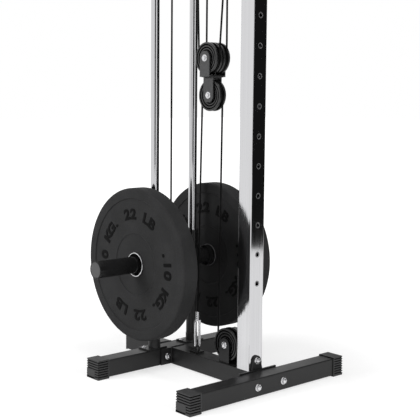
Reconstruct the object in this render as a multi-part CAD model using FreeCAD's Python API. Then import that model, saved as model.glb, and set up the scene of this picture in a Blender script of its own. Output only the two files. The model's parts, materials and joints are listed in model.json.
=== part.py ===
import FreeCAD, Part
import math
import os
from FreeCAD import Vector

# A plate-loaded cable crossover: two identical towers that face each other under one overhead beam.
# Every tower piece is drawn in the tower's own frame, in millimetres: X across the tower, Y from the
# front of the tower to its back, Z up from the floor. place() then turns it into the left and the right
# tower of the machine, whose X runs along the beam.

# ---- overall sizes ----
TOWER_GAP = 2040.0          # between the front faces of the two front crossbars
BASE_DEPTH = 624.0          # front of the front crossbar to the end of the rear stub
BASE_WIDTH = 600.0          # over the end caps of a crossbar
UPRIGHT_TOP = 1960.0        # top of the adjustment upright
TUBE = 50.8                 # square tube, outside
TUBE_WALL = 2.5
FOOT_GAP = 3.0              # rubber under each tube end

# ---- base ----
REAR_BAR_Y = 400.0          # front face of the rear crossbar
FLANGE = 5.0
FRONT_FLANGE_W = 144.0
FRONT_FLANGE_RISE = 4.0     # above the crossbar
REAR_FLANGE_W = 130.0
FRONT_BOLT_X = 50.0
REAR_BOLT_X = 39.5
CAP_LENGTH = 41.0
CAP_WALL = 3.0
CAP_RIBS = 8
BOLT_HEAD_R = 9.0
BOLT_HEAD_T = 6.0
BOLT_SHANK_R = 4.0

# ---- upright ----
UPRIGHT_SETBACK = 9.2       # from the front crossbar's back to the upright's front face
HOLE_R = 5.5
HOLE_FIRST_Z = 300.0
HOLE_PITCH = 81.5
HOLE_COUNT = 20
FOOT_PLATE_T = 8.0
FOOT_PLATE_H = 28.0
FOOT_PLATE_HALF = 18.0

# ---- guide rods and weight carriage ----
ROD_R = 12.5
ROD_X = 75.0
ROD_Y = 417.0
ROD_FLANGE_R = 18.0
ROD_FLANGE_W = 74.0
ROD_FLANGE_D = 46.0
ROD_FLANGE_T = 5.0
STOP_TUBE_R = 17.0
BUMPER_R = 19.0
BUMPER_H = 30.0
SLIDER_R = 18.0
SLIDER_TOP = 406.0
SLIDER_BOTTOM = 244.0
RUN_FIT = 0.05              # radial clearance of a shaft that turns or slides
SOFT_GAP = 0.3              # between pieces that move past each other
SLEEVE_R = 24.75
SLEEVE_Y = 395.0
SLEEVE_Z = 325.0
SLEEVE_END = 310.0
COLLAR_R = 31.25
COLLAR_T = 14.0
LIFT = 1050.0

# ---- bumper plates ----
PLATE_R = 225.0
PLATE_T = 52.0
PLATE_IN = 118.0            # inner face of a loaded plate
PLATE_BORE_R = 25.2

# ---- pulleys and cables ----
CABLE_R = 2.5
PULLEY_R = 45.0
GROOVE_R = 39.5             # bottom of the groove
PULLEY_T = 24.0
LOW_PULLEY_R = 48.0
LOW_GROOVE_R = 42.0
PULLEY_BOLT_R = 5.0
HUB_T = 26.0
NEAR_X = -14.5              # plane of the lifting cable
FAR_X = 14.5                # plane of the upper balance cable
LOW_BACK = 59.2             # low pulley's axis, behind the upright
LOW_RISE = 51.9             # and above the tube it stands on
LOW_LEG_X = 18.0
LOW_LEG_T = 3.0
LEG_T = 4.0
LEG_W = 40.0
LEG_CORNER = 11.0           # cut off the lower fork's leg ends
BLOCK_Y = 249.0
BLOCK_UP_Z = 924.0
BLOCK_LOW_Z = 819.0
BLOCK_JOIN_Z = 871.0
BLOCK_UP_IN = 28.0          # inner half width of the upper fork
BLOCK_LOW_IN = 13.4
ANCHOR_Y = 306.0
HOOK_TOP = 155.0
TOP_RISE = 70.0             # axis of the top pulleys above the upright's top
SIDE_PLATE_T = 6.0
SIDE_PLATE_GAP = 4.6        # between a side plate and the upright, filled by a spacer
SIDE_PLATE_LAP = 60.0       # overlap of the side plates with the upright
SIDE_PLATE_RISE = 140.0     # top of the side plates above the upright
SIDE_PLATE_FRONT = 10.0
SIDE_PLATE_BACK = 457.0
SIDE_PLATE_SKIRT = 20.0     # lower edge of the side plates above the upright's top
PEG_RISE = 38.0             # fixed end of the upper cable above the top pulleys' axis
PEG_SIZE = 14.0

# ---- height carriage, swivel and handle ----
CARRIAGE_HOLE = 17          # which hole the pin is in
CARRIAGE_WALL = 5.0
CARRIAGE_ABOVE_PIN = 35.0
PIN_R = 5.2
PIN_BOSS_R = 8.0
PIN_BOSS_L = 24.0
PIN_KNOB_R = 14.0
PIN_TRAVEL = 10.0           # from parked to home in a hole
PIN_BITE = 8.0              # into the upright when home
PIN_KNOB_L = 20.0
LIFT_CABLE_GAP = 24.0       # front run ahead of the upright
SWIVEL_DROP = 90.0          # from the pin down to the middle of the swivel
SWIVEL_REACH = 75.0         # from the middle of the swivel to the outside of its arms
ARM_T = 14.0
TRUNNION_R = 10.0
CABLE_HOLE_R = 4.0
SWIVEL_PULLEY_R = 35.0
SWIVEL_GROOVE_R = 29.5
SWIVEL_PULLEY_T = 20.0
GRIP_R = 15.0
GRIP_HALF = 62.0
GRIP_DROP = 190.0           # from the stop ball to the grip

BAR_Z = FOOT_GAP
BAR_TOP = BAR_Z + TUBE
BAR_MID = BAR_Z + TUBE / 2
HALF = TUBE / 2
UPRIGHT_Y = TUBE + UPRIGHT_SETBACK
UPRIGHT_BACK = UPRIGHT_Y + TUBE
LOW_Y = UPRIGHT_BACK + LOW_BACK
LOW_Z = BAR_TOP + LOW_RISE
TOP_Z = UPRIGHT_TOP + TOP_RISE
SIDE_PLATE_X = HALF + SIDE_PLATE_GAP
SIDE_PLATE_LOW = UPRIGHT_TOP - SIDE_PLATE_LAP
SIDE_PLATE_TOP = UPRIGHT_TOP + SIDE_PLATE_RISE
PEG_Z = TOP_Z + PEG_RISE
REAR_BAR_BACK = REAR_BAR_Y + TUBE
ROD_BOTTOM = BAR_TOP + ROD_FLANGE_T
ROD_TOP = UPRIGHT_TOP + 60.0
LIFT_CABLE_Y = UPRIGHT_Y - LIFT_CABLE_GAP   # front run, clear of the upright
PITCH_R = GROOVE_R + CABLE_R + SOFT_GAP     # cable centre line on a pulley
LOW_PITCH_R = LOW_GROOVE_R + CABLE_R + SOFT_GAP
BACK_CABLE_Y = LOW_Y - LOW_PITCH_R          # run behind the upright
T1_Y = LIFT_CABLE_Y + PITCH_R
T2_Y = BACK_CABLE_Y + PITCH_R
WEIGHT_CABLE_Y = ROD_Y - 3.5
T3_Y = WEIGHT_CABLE_Y - PITCH_R
PIN_Z = HOLE_FIRST_Z + CARRIAGE_HOLE * HOLE_PITCH
SWIVEL_Z = PIN_Z - SWIVEL_DROP
CARRIAGE_LOW = SWIVEL_Z - SWIVEL_REACH
CARRIAGE_HIGH = PIN_Z + CARRIAGE_ABOVE_PIN
SLEEVE_FRONT = UPRIGHT_Y - SOFT_GAP - CARRIAGE_WALL
SLEEVE_BACK = UPRIGHT_BACK + SOFT_GAP + CARRIAGE_WALL
SWIVEL_PULLEY_Y = LIFT_CABLE_Y - SWIVEL_GROOVE_R - CABLE_R - SOFT_GAP
HANDLE_TOP = CARRIAGE_LOW - 1.0
TOWER_HALF = TOWER_GAP / 2
X, Y, Z = Vector(1, 0, 0), Vector(0, 1, 0), Vector(0, 0, 1)

parts = {}


# ---- shapes ----
def box(x0, x1, y0, y1, z0, z1):
    return Part.makeBox(x1 - x0, y1 - y0, z1 - z0, Vector(x0, y0, z0))


def rod(start, end, radius):
    run = Vector(*end) - Vector(*start)
    return Part.makeCylinder(radius, run.Length, Vector(*start), run)


def ring(start, end, outer, inner):
    return rod(start, end, outer).cut(rod(start, end, inner))


def revolve_x(outline, centre):
    """Turn an outline of (x, radius) points round the X axis through centre."""
    points = [Vector(centre[0] + x, centre[1], centre[2] + r) for x, r in outline]
    face = Part.Face(Part.makePolygon(points + points[:1]))
    return face.revolve(Vector(*centre), X, 360)


def fuse(shapes):
    whole = shapes[0].multiFuse(shapes[1:]) if len(shapes) > 1 else shapes[0]
    return whole.removeSplitter()


def both_sides(shape):
    return [shape, shape.mirror(Vector(0, 0, 0), X)]


def square_tube_x(half, y, z, side=TUBE, wall=TUBE_WALL):
    outer = box(-half, half, y, y + side, z, z + side)
    return outer.cut(box(-half, half, y + wall, y + side - wall, z + wall, z + side - wall))


def square_tube_y(y0, y1, z):
    outer = box(-HALF, HALF, y0, y1, z, z + TUBE)
    return outer.cut(box(-HALF + TUBE_WALL, HALF - TUBE_WALL, y0, y1, z + TUBE_WALL, z + TUBE - TUBE_WALL))


def hex_head(at, direction, radius=BOLT_HEAD_R, height=BOLT_HEAD_T):
    """A hexagon head on a washer, standing on the face at this point."""
    washer_t = 1.5
    washer = Part.makeCylinder(radius * 1.1, washer_t, Vector(*at), direction)
    side = direction.cross(Z) if abs(direction.z) < 0.9 else X
    base = Vector(*at) + direction * washer_t
    corners = []
    for i in range(6):
        turn = FreeCAD.Rotation(direction, 60.0 * i)
        corners.append(base + turn.multVec(side) * radius)
    face = Part.Face(Part.makePolygon(corners + corners[:1]))
    return washer.fuse(face.extrude(direction * height))


# ---- placing ----
def place(shape, side):
    """Tower frame to machine frame. The left tower's front faces +X, the right tower's faces -X."""
    copy = shape.copy()
    copy.translate(Vector(0, TOWER_HALF, 0))
    copy.rotate(Vector(0, 0, 0), Z, 90 if side == "left" else -90)
    return copy


def add_both(name, shapes):
    """A node that holds the same fixed pieces of both towers."""
    parts[name] = [place(s, side) for side in ("left", "right") for s in shapes]


def add_each(name, shapes):
    """One node per tower."""
    for side in ("left", "right"):
        parts[side + "_" + name] = [place(s, side) for s in shapes]


# ---- base ----
def drill(shape, points, direction, radius, depth):
    for point in points:
        shape = shape.cut(Part.makeCylinder(radius, depth, Vector(*point), direction))
    return shape


FRONT_BOLTS = [(-FRONT_BOLT_X, 0, BAR_MID), (FRONT_BOLT_X, 0, BAR_MID)]
REAR_BOLTS = [(-REAR_BOLT_X, REAR_BAR_Y, BAR_MID), (REAR_BOLT_X, REAR_BAR_Y, BAR_MID)]
BOLT_HOLE_R = BOLT_SHANK_R + 0.3


def crossbars():
    half = BASE_WIDTH / 2 - CAP_WALL
    front = drill(square_tube_x(half, 0, BAR_Z), FRONT_BOLTS, Y, BOLT_HOLE_R, TUBE)
    add_both("front_crossbars", [front])
    rear = drill(square_tube_x(half, REAR_BAR_Y, BAR_Z), REAR_BOLTS, Y, BOLT_HOLE_R, TUBE)
    add_both("rear_crossbars", [rear])


def spine_and_stub():
    front = box(-FRONT_FLANGE_W / 2, FRONT_FLANGE_W / 2, TUBE, TUBE + FLANGE, BAR_Z + 1,
                BAR_TOP + FRONT_FLANGE_RISE)
    back = box(-REAR_FLANGE_W / 2, REAR_FLANGE_W / 2, REAR_BAR_Y - FLANGE, REAR_BAR_Y, BAR_Z + 1, BAR_TOP)
    spine = fuse([square_tube_y(TUBE + FLANGE, REAR_BAR_Y - FLANGE, BAR_Z), front, back])
    spine = drill(spine, [(x, TUBE, z) for x, y, z in FRONT_BOLTS], Y, BOLT_HOLE_R, FLANGE)
    spine = drill(spine, [(x, REAR_BAR_Y - FLANGE, z) for x, y, z in REAR_BOLTS], Y, BOLT_HOLE_R, FLANGE)
    add_both("base_spines", [spine])
    plate = box(-REAR_FLANGE_W / 2, REAR_FLANGE_W / 2, REAR_BAR_BACK, REAR_BAR_BACK + FLANGE, BAR_Z + 1, BAR_TOP)
    stub = fuse([square_tube_y(REAR_BAR_BACK + FLANGE, BASE_DEPTH - CAP_WALL, BAR_Z), plate])
    stub = drill(stub, [(x, REAR_BAR_BACK, z) for x, y, z in REAR_BOLTS], Y, BOLT_HOLE_R, FLANGE)
    add_both("rear_stubs", [stub])


def end_cap(end, y):
    """A rubber shoe over the end of a crossbar that ends at X = end."""
    inner = end - CAP_LENGTH
    outer = box(inner, end, y - CAP_WALL, y + TUBE + CAP_WALL, 0, BAR_TOP + CAP_WALL)
    shoe = outer.cut(box(inner, end - CAP_WALL, y, y + TUBE, BAR_Z, BAR_TOP))
    pitch = (TUBE + 2 * CAP_WALL) / (CAP_RIBS + 1)
    for i in range(CAP_RIBS):
        z = pitch * (i + 1)
        shoe = shoe.cut(box(inner + 6, end, y - CAP_WALL, y - CAP_WALL + 1, z - 1.2, z + 1.2))
        shoe = shoe.cut(box(inner + 6, end, y + TUBE + CAP_WALL - 1, y + TUBE + CAP_WALL, z - 1.2, z + 1.2))
        shoe = shoe.cut(box(end - 1, end, y - CAP_WALL, y + TUBE + CAP_WALL, z - 1.2, z + 1.2))
    return shoe


def end_caps():
    caps = []
    for y in (0.0, REAR_BAR_Y):
        caps += both_sides(end_cap(BASE_WIDTH / 2, y))
    stub_cap = box(-HALF, HALF, BASE_DEPTH - CAP_WALL, BASE_DEPTH, 0, BAR_TOP)
    plug = HALF - TUBE_WALL
    stub_cap = stub_cap.fuse(box(-plug, plug, BASE_DEPTH - 20, BASE_DEPTH - CAP_WALL,
                                 BAR_Z + TUBE_WALL, BAR_TOP - TUBE_WALL))
    add_both("end_caps", caps + [stub_cap.removeSplitter()])


# ---- upright ----
def upright():
    tube = box(-HALF, HALF, UPRIGHT_Y, UPRIGHT_BACK, BAR_TOP, UPRIGHT_TOP)
    inside = box(-HALF + TUBE_WALL, HALF - TUBE_WALL, UPRIGHT_Y + TUBE_WALL, UPRIGHT_BACK - TUBE_WALL,
                 BAR_TOP, UPRIGHT_TOP)
    tube = tube.cut(inside)
    for i in range(HOLE_COUNT):
        z = HOLE_FIRST_Z + i * HOLE_PITCH
        tube = tube.cut(rod((0, UPRIGHT_Y - 1, z), (0, UPRIGHT_Y + 10, z), HOLE_R))
    bolt_z = BAR_TOP + FOOT_PLATE_H
    tube = tube.cut(rod((0, UPRIGHT_Y - 1, bolt_z), (0, UPRIGHT_Y + 10, bolt_z), BOLT_HOLE_R))
    add_both("uprights", [tube])
    front = UPRIGHT_Y - FOOT_PLATE_T
    seat = BAR_TOP + FRONT_FLANGE_RISE + SOFT_GAP
    plate = box(-FOOT_PLATE_HALF, FOOT_PLATE_HALF, front, UPRIGHT_Y, seat, bolt_z)
    hump = rod((0, front, bolt_z), (0, UPRIGHT_Y, bolt_z), FOOT_PLATE_HALF)
    foot = fuse([plate, hump])
    foot = drill(foot, [(0, front, bolt_z)], Y, BOLT_HOLE_R, FOOT_PLATE_T)
    add_both("upright_foot_brackets", [foot])


# ---- guide rods ----
def guide_rods():
    single = rod((ROD_X, ROD_Y, ROD_BOTTOM), (ROD_X, ROD_Y, ROD_TOP), ROD_R)
    add_both("guide_rods", both_sides(single))
    half_w = ROD_FLANGE_W / 2
    flange = box(ROD_X - half_w, ROD_X + half_w, ROD_Y - ROD_FLANGE_D / 3, ROD_Y + ROD_FLANGE_D / 1.5,
                 BAR_TOP, ROD_BOTTOM)
    socket = ring((ROD_X, ROD_Y, ROD_BOTTOM), (ROD_X, ROD_Y, ROD_BOTTOM + 22), ROD_FLANGE_R, ROD_R)
    add_both("rod_feet", both_sides(fuse([flange, socket])))
    stop_low = ROD_BOTTOM + 22
    stop_high = SLIDER_BOTTOM - BUMPER_H
    tube = ring((ROD_X, ROD_Y, stop_low), (ROD_X, ROD_Y, stop_high), STOP_TUBE_R, ROD_R)
    add_both("rod_stop_tubes", both_sides(tube))
    bumper = ring((ROD_X, ROD_Y, stop_high), (ROD_X, ROD_Y, SLIDER_BOTTOM), BUMPER_R, ROD_R)
    add_both("rubber_bumpers", both_sides(bumper))
    bar = box(-ROD_X - 25, ROD_X + 25, ROD_Y - 20, ROD_Y + 20, ROD_TOP - 30, ROD_TOP)
    bar = bar.cut(box(-SIDE_PLATE_X - SIDE_PLATE_T, SIDE_PLATE_X + SIDE_PLATE_T, ROD_Y - 20, ROD_Y + 20,
                      ROD_TOP - 30, ROD_TOP))
    for sign in (-1, 1):
        bar = bar.cut(rod((sign * ROD_X, ROD_Y, ROD_TOP - 30), (sign * ROD_X, ROD_Y, ROD_TOP), ROD_R))
    anchor_y = BLOCK_Y + PITCH_R
    peg = box(-SIDE_PLATE_X, SIDE_PLATE_X, anchor_y - PEG_SIZE / 2, anchor_y + PEG_SIZE / 2,
              PEG_Z, PEG_Z + PEG_SIZE)
    add_both("top_cross_bars", bar.Solids + [peg])


# ---- weight carriage and plates ----
def weight_carriage():
    pieces = []
    for sign in (-1, 1):
        pieces.append(rod((sign * ROD_X, ROD_Y, SLIDER_BOTTOM), (sign * ROD_X, ROD_Y, SLIDER_TOP), SLIDER_R))
        pieces.append(rod((sign * 50, SLEEVE_Y, SLEEVE_Z), (sign * SLEEVE_END, SLEEVE_Y, SLEEVE_Z), SLEEVE_R))
        pieces.append(rod((sign * (PLATE_IN - COLLAR_T), SLEEVE_Y, SLEEVE_Z),
                          (sign * (PLATE_IN - SOFT_GAP), SLEEVE_Y, SLEEVE_Z), COLLAR_R))
    back = box(-ROD_X, ROD_X, ROD_Y - 8, ROD_Y + 8, SLEEVE_Z - 40, SLEEVE_Z + 40)
    lug = box(NEAR_X - 6, NEAR_X + 6, WEIGHT_CABLE_Y - 8, WEIGHT_CABLE_Y + 8, SLEEVE_Z + 40, SLEEVE_Z + 62)
    body = fuse(pieces + [back, lug])
    for sign in (-1, 1):
        body = body.cut(rod((sign * ROD_X, ROD_Y, SLIDER_BOTTOM - 1), (sign * ROD_X, ROD_Y, SLIDER_TOP + 1),
                            ROD_R + RUN_FIT))
    add_each("weight_carriage", [body])


def bumper_plate():
    """A rubber plate with a raised rim, a shallow web and a raised hub, the same on both faces."""
    rim = 0.86 * PLATE_R
    hub = 0.42 * PLATE_R
    half = PLATE_T / 2
    web = half - 4
    face = [(half - 2, PLATE_R - 7), (half, PLATE_R - 13), (half, rim + 3), (web, rim), (web, hub + 5),
            (half - 1, hub), (half - 1, hub - 26), (half - 4, hub - 30), (half - 4, 36), (half, 34)]
    outline = [(half - 7, PLATE_R)] + face + [(half, PLATE_BORE_R)]
    outline += [(-x, r) for x, r in reversed(outline)]
    return revolve_x(outline, (0, SLEEVE_Y, SLEEVE_Z))


def plates():
    near = bumper_plate()
    near.translate(Vector(-PLATE_IN - PLATE_T / 2, 0, 0))
    far = bumper_plate()
    far.translate(Vector(PLATE_IN + PLATE_T / 2, 0, 0))
    add_each("near_plate", [near])
    add_each("far_plate", [far])


# ---- pulleys ----
def pulley(centre, radius, groove, thick=PULLEY_T, bore=PULLEY_BOLT_R + RUN_FIT, hub=HUB_T):
    """A grooved wheel with dished faces and a hub, round the X axis."""
    half = thick / 2
    dish = half - 4
    floor = CABLE_R + SOFT_GAP
    outline = [(half - 1.5, radius), (floor + 3, radius), (floor, groove), (-floor, groove),
               (-floor - 3, radius), (-half + 1.5, radius)]
    side = [(half, radius - 1.5), (half, radius - 6), (dish, radius - 9), (dish, 20), (half - 1, 17),
            (half - 1, 12), (hub / 2, 11), (hub / 2, bore)]
    loop = outline + [(-x, r) for x, r in side] + list(reversed(side))
    return revolve_x(loop, centre)


def pulleys():
    add_each("low_pulley", [pulley((0, LOW_Y, LOW_Z), LOW_PULLEY_R, LOW_GROOVE_R)])
    add_each("block_pulley_near", [pulley((NEAR_X, BLOCK_Y, BLOCK_UP_Z), PULLEY_R, GROOVE_R)])
    add_each("block_pulley_far", [pulley((FAR_X, BLOCK_Y, BLOCK_UP_Z), PULLEY_R, GROOVE_R)])
    add_each("block_pulley_low", [pulley((0, BLOCK_Y, BLOCK_LOW_Z), PULLEY_R, GROOVE_R)])
    add_each("top_pulley_front", [pulley((NEAR_X, T1_Y, TOP_Z), PULLEY_R, GROOVE_R)])
    add_each("top_pulley_middle", [pulley((FAR_X, T2_Y, TOP_Z), PULLEY_R, GROOVE_R)])
    add_each("top_pulley_rear", [pulley((NEAR_X, T3_Y, TOP_Z), PULLEY_R, GROOVE_R)])


def axle(centre, half_width):
    """A bolt through two legs, with a head at the near side and a nut at the far side."""
    x, y, z = centre
    shank = rod((x - half_width, y, z), (x + half_width, y, z), PULLEY_BOLT_R)
    head = hex_head((x - half_width, y, z), -X, 8.5)
    nut = hex_head((x + half_width, y, z), X, 8.5)
    return fuse([shank, head, nut])


def leg(x0, y, base_z, axis_z, thick, corner):
    """A strap from base_z to past the bolt at axis_z, its far corners rounded, or cut off by corner."""
    half = LEG_W / 2
    up = 1 if axis_z > base_z else -1
    if corner is None:
        lo, hi = sorted((base_z, axis_z))
        strap = box(x0, x0 + thick, y - half, y + half, lo, hi)
        return fuse([strap, rod((x0, y, axis_z), (x0 + thick, y, axis_z), half)])
    end = axis_z + up * half
    outline = [(y - half, base_z), (y - half, end - up * corner), (y - half + corner, end),
               (y + half - corner, end), (y + half, end - up * corner), (y + half, base_z)]
    points = [Vector(x0, a, b) for a, b in outline]
    return Part.Face(Part.makePolygon(points + points[:1])).extrude(X * thick)


def fork(y, base_z, axis_z, inner, thick=LEG_T, corner=None):
    """A U bracket: a base strap at base_z and two legs to the bolt at axis_z."""
    up = 1 if axis_z > base_z else -1
    lo, hi = sorted((base_z, base_z + up * thick))
    base = box(-inner - thick, inner + thick, y - LEG_W / 2, y + LEG_W / 2, lo, hi)
    legs = [leg(x0, y, base_z, axis_z, thick, corner) for x0 in (-inner - thick, inner)]
    whole = fuse([base] + legs)
    reach = inner + thick + 1
    return whole.cut(rod((-reach, y, axis_z), (reach, y, axis_z), PULLEY_BOLT_R))


def pulley_brackets():
    add_both("low_pulley_brackets", [fork(LOW_Y, BAR_TOP, LOW_Z, LOW_LEG_X - LOW_LEG_T, LOW_LEG_T)])
    upper = fork(BLOCK_Y, BLOCK_JOIN_Z, BLOCK_UP_Z, BLOCK_UP_IN)
    lower = fork(BLOCK_Y, BLOCK_JOIN_Z, BLOCK_LOW_Z, BLOCK_LOW_IN, LEG_T, LEG_CORNER)
    add_each("pulley_block", [fuse([upper, lower])])
    up_bolt = axle((0, BLOCK_Y, BLOCK_UP_Z), BLOCK_UP_IN + LEG_T)
    low_bolt = axle((0, BLOCK_Y, BLOCK_LOW_Z), BLOCK_LOW_IN + LEG_T)
    add_each("block_bolts", [up_bolt, low_bolt])
    fixed = [axle((0, LOW_Y, LOW_Z), LOW_LEG_X)]
    for y, x in ((T1_Y, NEAR_X), (T2_Y, FAR_X), (T3_Y, NEAR_X)):
        sign = -1 if x > 0 else 1
        spacer = rod((x + sign * (HUB_T / 2 + SOFT_GAP), y, TOP_Z), (sign * SIDE_PLATE_X, y, TOP_Z), 8.0)
        fixed.append(axle((0, y, TOP_Z), SIDE_PLATE_X + SIDE_PLATE_T).fuse(spacer))
    add_both("pulley_axle_bolts", fixed)


def top_plates():
    plates_ = []
    skirt = UPRIGHT_TOP + SIDE_PLATE_SKIRT
    for x0 in (-SIDE_PLATE_X - SIDE_PLATE_T, SIDE_PLATE_X):
        plate = box(x0, x0 + SIDE_PLATE_T, SIDE_PLATE_FRONT, SIDE_PLATE_BACK, skirt, SIDE_PLATE_TOP)
        ear = box(x0, x0 + SIDE_PLATE_T, UPRIGHT_Y, UPRIGHT_BACK, SIDE_PLATE_LOW, skirt)
        plate = fuse([plate, ear])
        for y in (T1_Y, T2_Y, T3_Y):
            plate = plate.cut(rod((x0 - 1, y, TOP_Z), (x0 + SIDE_PLATE_T + 1, y, TOP_Z), PULLEY_BOLT_R))
        inner = -SIDE_PLATE_X if x0 < 0 else SIDE_PLATE_X
        edge = -HALF if x0 < 0 else HALF
        spacer = box(min(inner, edge), max(inner, edge), UPRIGHT_Y, UPRIGHT_BACK, SIDE_PLATE_LOW, UPRIGHT_TOP)
        plates_.append(fuse([plate, spacer]))
    add_both("top_side_plates", plates_)


def overhead_beam():
    half = TOWER_HALF + SIDE_PLATE_BACK
    beam = box(-half, half, -HALF, HALF, SIDE_PLATE_TOP, SIDE_PLATE_TOP + TUBE)
    beam = beam.cut(box(-half, half, -HALF + TUBE_WALL, HALF - TUBE_WALL, SIDE_PLATE_TOP + TUBE_WALL,
                        SIDE_PLATE_TOP + TUBE - TUBE_WALL))
    parts["overhead_beam"] = [beam]
    saddle = box(-SIDE_PLATE_X, SIDE_PLATE_X, SIDE_PLATE_FRONT, SIDE_PLATE_BACK,
                 SIDE_PLATE_TOP - SIDE_PLATE_T, SIDE_PLATE_TOP)
    add_both("beam_saddles", [saddle])


# ---- bolts of the frame ----
def frame_bolts():
    bolts = []
    back = TUBE + FLANGE
    for x in (-FRONT_BOLT_X, FRONT_BOLT_X):
        bolts.append(fuse([rod((x, 0, BAR_MID), (x, back, BAR_MID), BOLT_SHANK_R),
                           hex_head((x, 0, BAR_MID), -Y), hex_head((x, back, BAR_MID), Y)]))
    for x in (-REAR_BOLT_X, REAR_BOLT_X):
        y0, y1 = REAR_BAR_Y - FLANGE, REAR_BAR_BACK + FLANGE
        bolts.append(fuse([rod((x, y0, BAR_MID), (x, y1, BAR_MID), BOLT_SHANK_R),
                           hex_head((x, y0, BAR_MID), -Y, 8.0), hex_head((x, y1, BAR_MID), Y, 8.0)]))
    z = BAR_TOP + FOOT_PLATE_H
    bolts.append(fuse([rod((0, UPRIGHT_Y - FOOT_PLATE_T, z), (0, UPRIGHT_Y + 12, z), BOLT_SHANK_R),
                       hex_head((0, UPRIGHT_Y - FOOT_PLATE_T, z), -Y, 8.0, 5.0)]))
    for x in (-ROD_X - 28, -ROD_X + 28, ROD_X - 28, ROD_X + 28):
        y = ROD_Y + ROD_FLANGE_D / 3
        bolts.append(hex_head((x, y, ROD_BOTTOM), Z, 5.5, 5.0))
    add_both("frame_bolts", bolts)


# ---- anchor and hook ----
EYE_R = 9.0
EYE_WIRE = 2.6
HOOK_WIRE = 3.0
HOOK_BEND = 10.0
FERRULE_R = 5.0
FERRULE_TOP = HOOK_TOP + 23.0
EYE_Z = BAR_TOP + EYE_R + EYE_WIRE


def half_ring(centre, bend, wire, up):
    ring_ = Part.makeTorus(bend, wire, Vector(*centre), Y)
    reach = bend + wire + 1
    x, y, z = centre
    lo, hi = (z, z + reach) if up else (z - reach, z)
    return ring_.common(box(x - reach, x + reach, y - reach, y + reach, lo, hi))


def anchor_and_hook():
    base = box(-15, 15, ANCHOR_Y - 15, ANCHOR_Y + 15, BAR_TOP, BAR_TOP + 4)
    eye = Part.makeTorus(EYE_R, EYE_WIRE, Vector(0, ANCHOR_Y, EYE_Z), X)
    add_both("anchor_eyes", [fuse([base, eye])])
    bottom = EYE_Z + EYE_R - EYE_WIRE - HOOK_WIRE - SOFT_GAP + HOOK_BEND
    top = HOOK_TOP - HOOK_WIRE - HOOK_BEND
    pieces = [half_ring((0, ANCHOR_Y, bottom), HOOK_BEND, HOOK_WIRE, False),
              half_ring((0, ANCHOR_Y, top), HOOK_BEND, HOOK_WIRE, True)]
    for x in (-HOOK_BEND, HOOK_BEND):
        pieces.append(rod((x, ANCHOR_Y, bottom), (x, ANCHOR_Y, top), HOOK_WIRE))
    pieces.append(rod((0, ANCHOR_Y, HOOK_TOP - HOOK_WIRE), (0, ANCHOR_Y, FERRULE_TOP), FERRULE_R))
    add_both("snap_hooks", [fuse(pieces)])


# ---- height carriage ----
def height_carriage():
    inner = HALF + SOFT_GAP
    outer = inner + CARRIAGE_WALL
    sleeve = box(-outer, outer, SLEEVE_FRONT, SLEEVE_BACK, CARRIAGE_LOW, CARRIAGE_HIGH)
    sleeve = sleeve.cut(box(-inner, inner, UPRIGHT_Y - SOFT_GAP, UPRIGHT_BACK + SOFT_GAP,
                            CARRIAGE_LOW, CARRIAGE_HIGH))
    arms = []
    for z in (SWIVEL_Z - SWIVEL_REACH, SWIVEL_Z + SWIVEL_REACH - ARM_T):
        arms.append(box(NEAR_X - 15, NEAR_X + 15, LIFT_CABLE_Y, SLEEVE_FRONT, z, z + ARM_T))
        arms.append(rod((NEAR_X, LIFT_CABLE_Y, z), (NEAR_X, LIFT_CABLE_Y, z + ARM_T), 15))
    boss = rod((0, SLEEVE_FRONT - PIN_BOSS_L, PIN_Z), (0, SLEEVE_FRONT, PIN_Z), PIN_BOSS_R)
    low_lug = box(-7, 7, SLEEVE_BACK, BACK_CABLE_Y + 8, CARRIAGE_LOW, CARRIAGE_LOW + 25)
    top_lug = box(FAR_X - 7, FAR_X + 7, SLEEVE_BACK, BACK_CABLE_Y + 8, CARRIAGE_HIGH - 25, CARRIAGE_HIGH)
    body = fuse([sleeve, boss, low_lug, top_lug] + arms)
    body = body.cut(rod((NEAR_X, LIFT_CABLE_Y, CARRIAGE_LOW - 1), (NEAR_X, LIFT_CABLE_Y, SWIVEL_Z + 80),
                        TRUNNION_R + RUN_FIT))
    body = body.cut(rod((0, SLEEVE_FRONT - PIN_BOSS_L - 1, PIN_Z), (0, UPRIGHT_Y, PIN_Z), PIN_R + RUN_FIT))
    add_each("height_carriage", [body])
    knob_y = SLEEVE_FRONT - PIN_BOSS_L - SOFT_GAP - PIN_TRAVEL
    pin = rod((0, knob_y, PIN_Z), (0, UPRIGHT_Y + PIN_BITE - PIN_TRAVEL, PIN_Z), PIN_R)
    knob = rod((0, knob_y - PIN_KNOB_L, PIN_Z), (0, knob_y, PIN_Z), PIN_KNOB_R)
    add_each("pop_pin", [fuse([pin, knob])])


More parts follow.
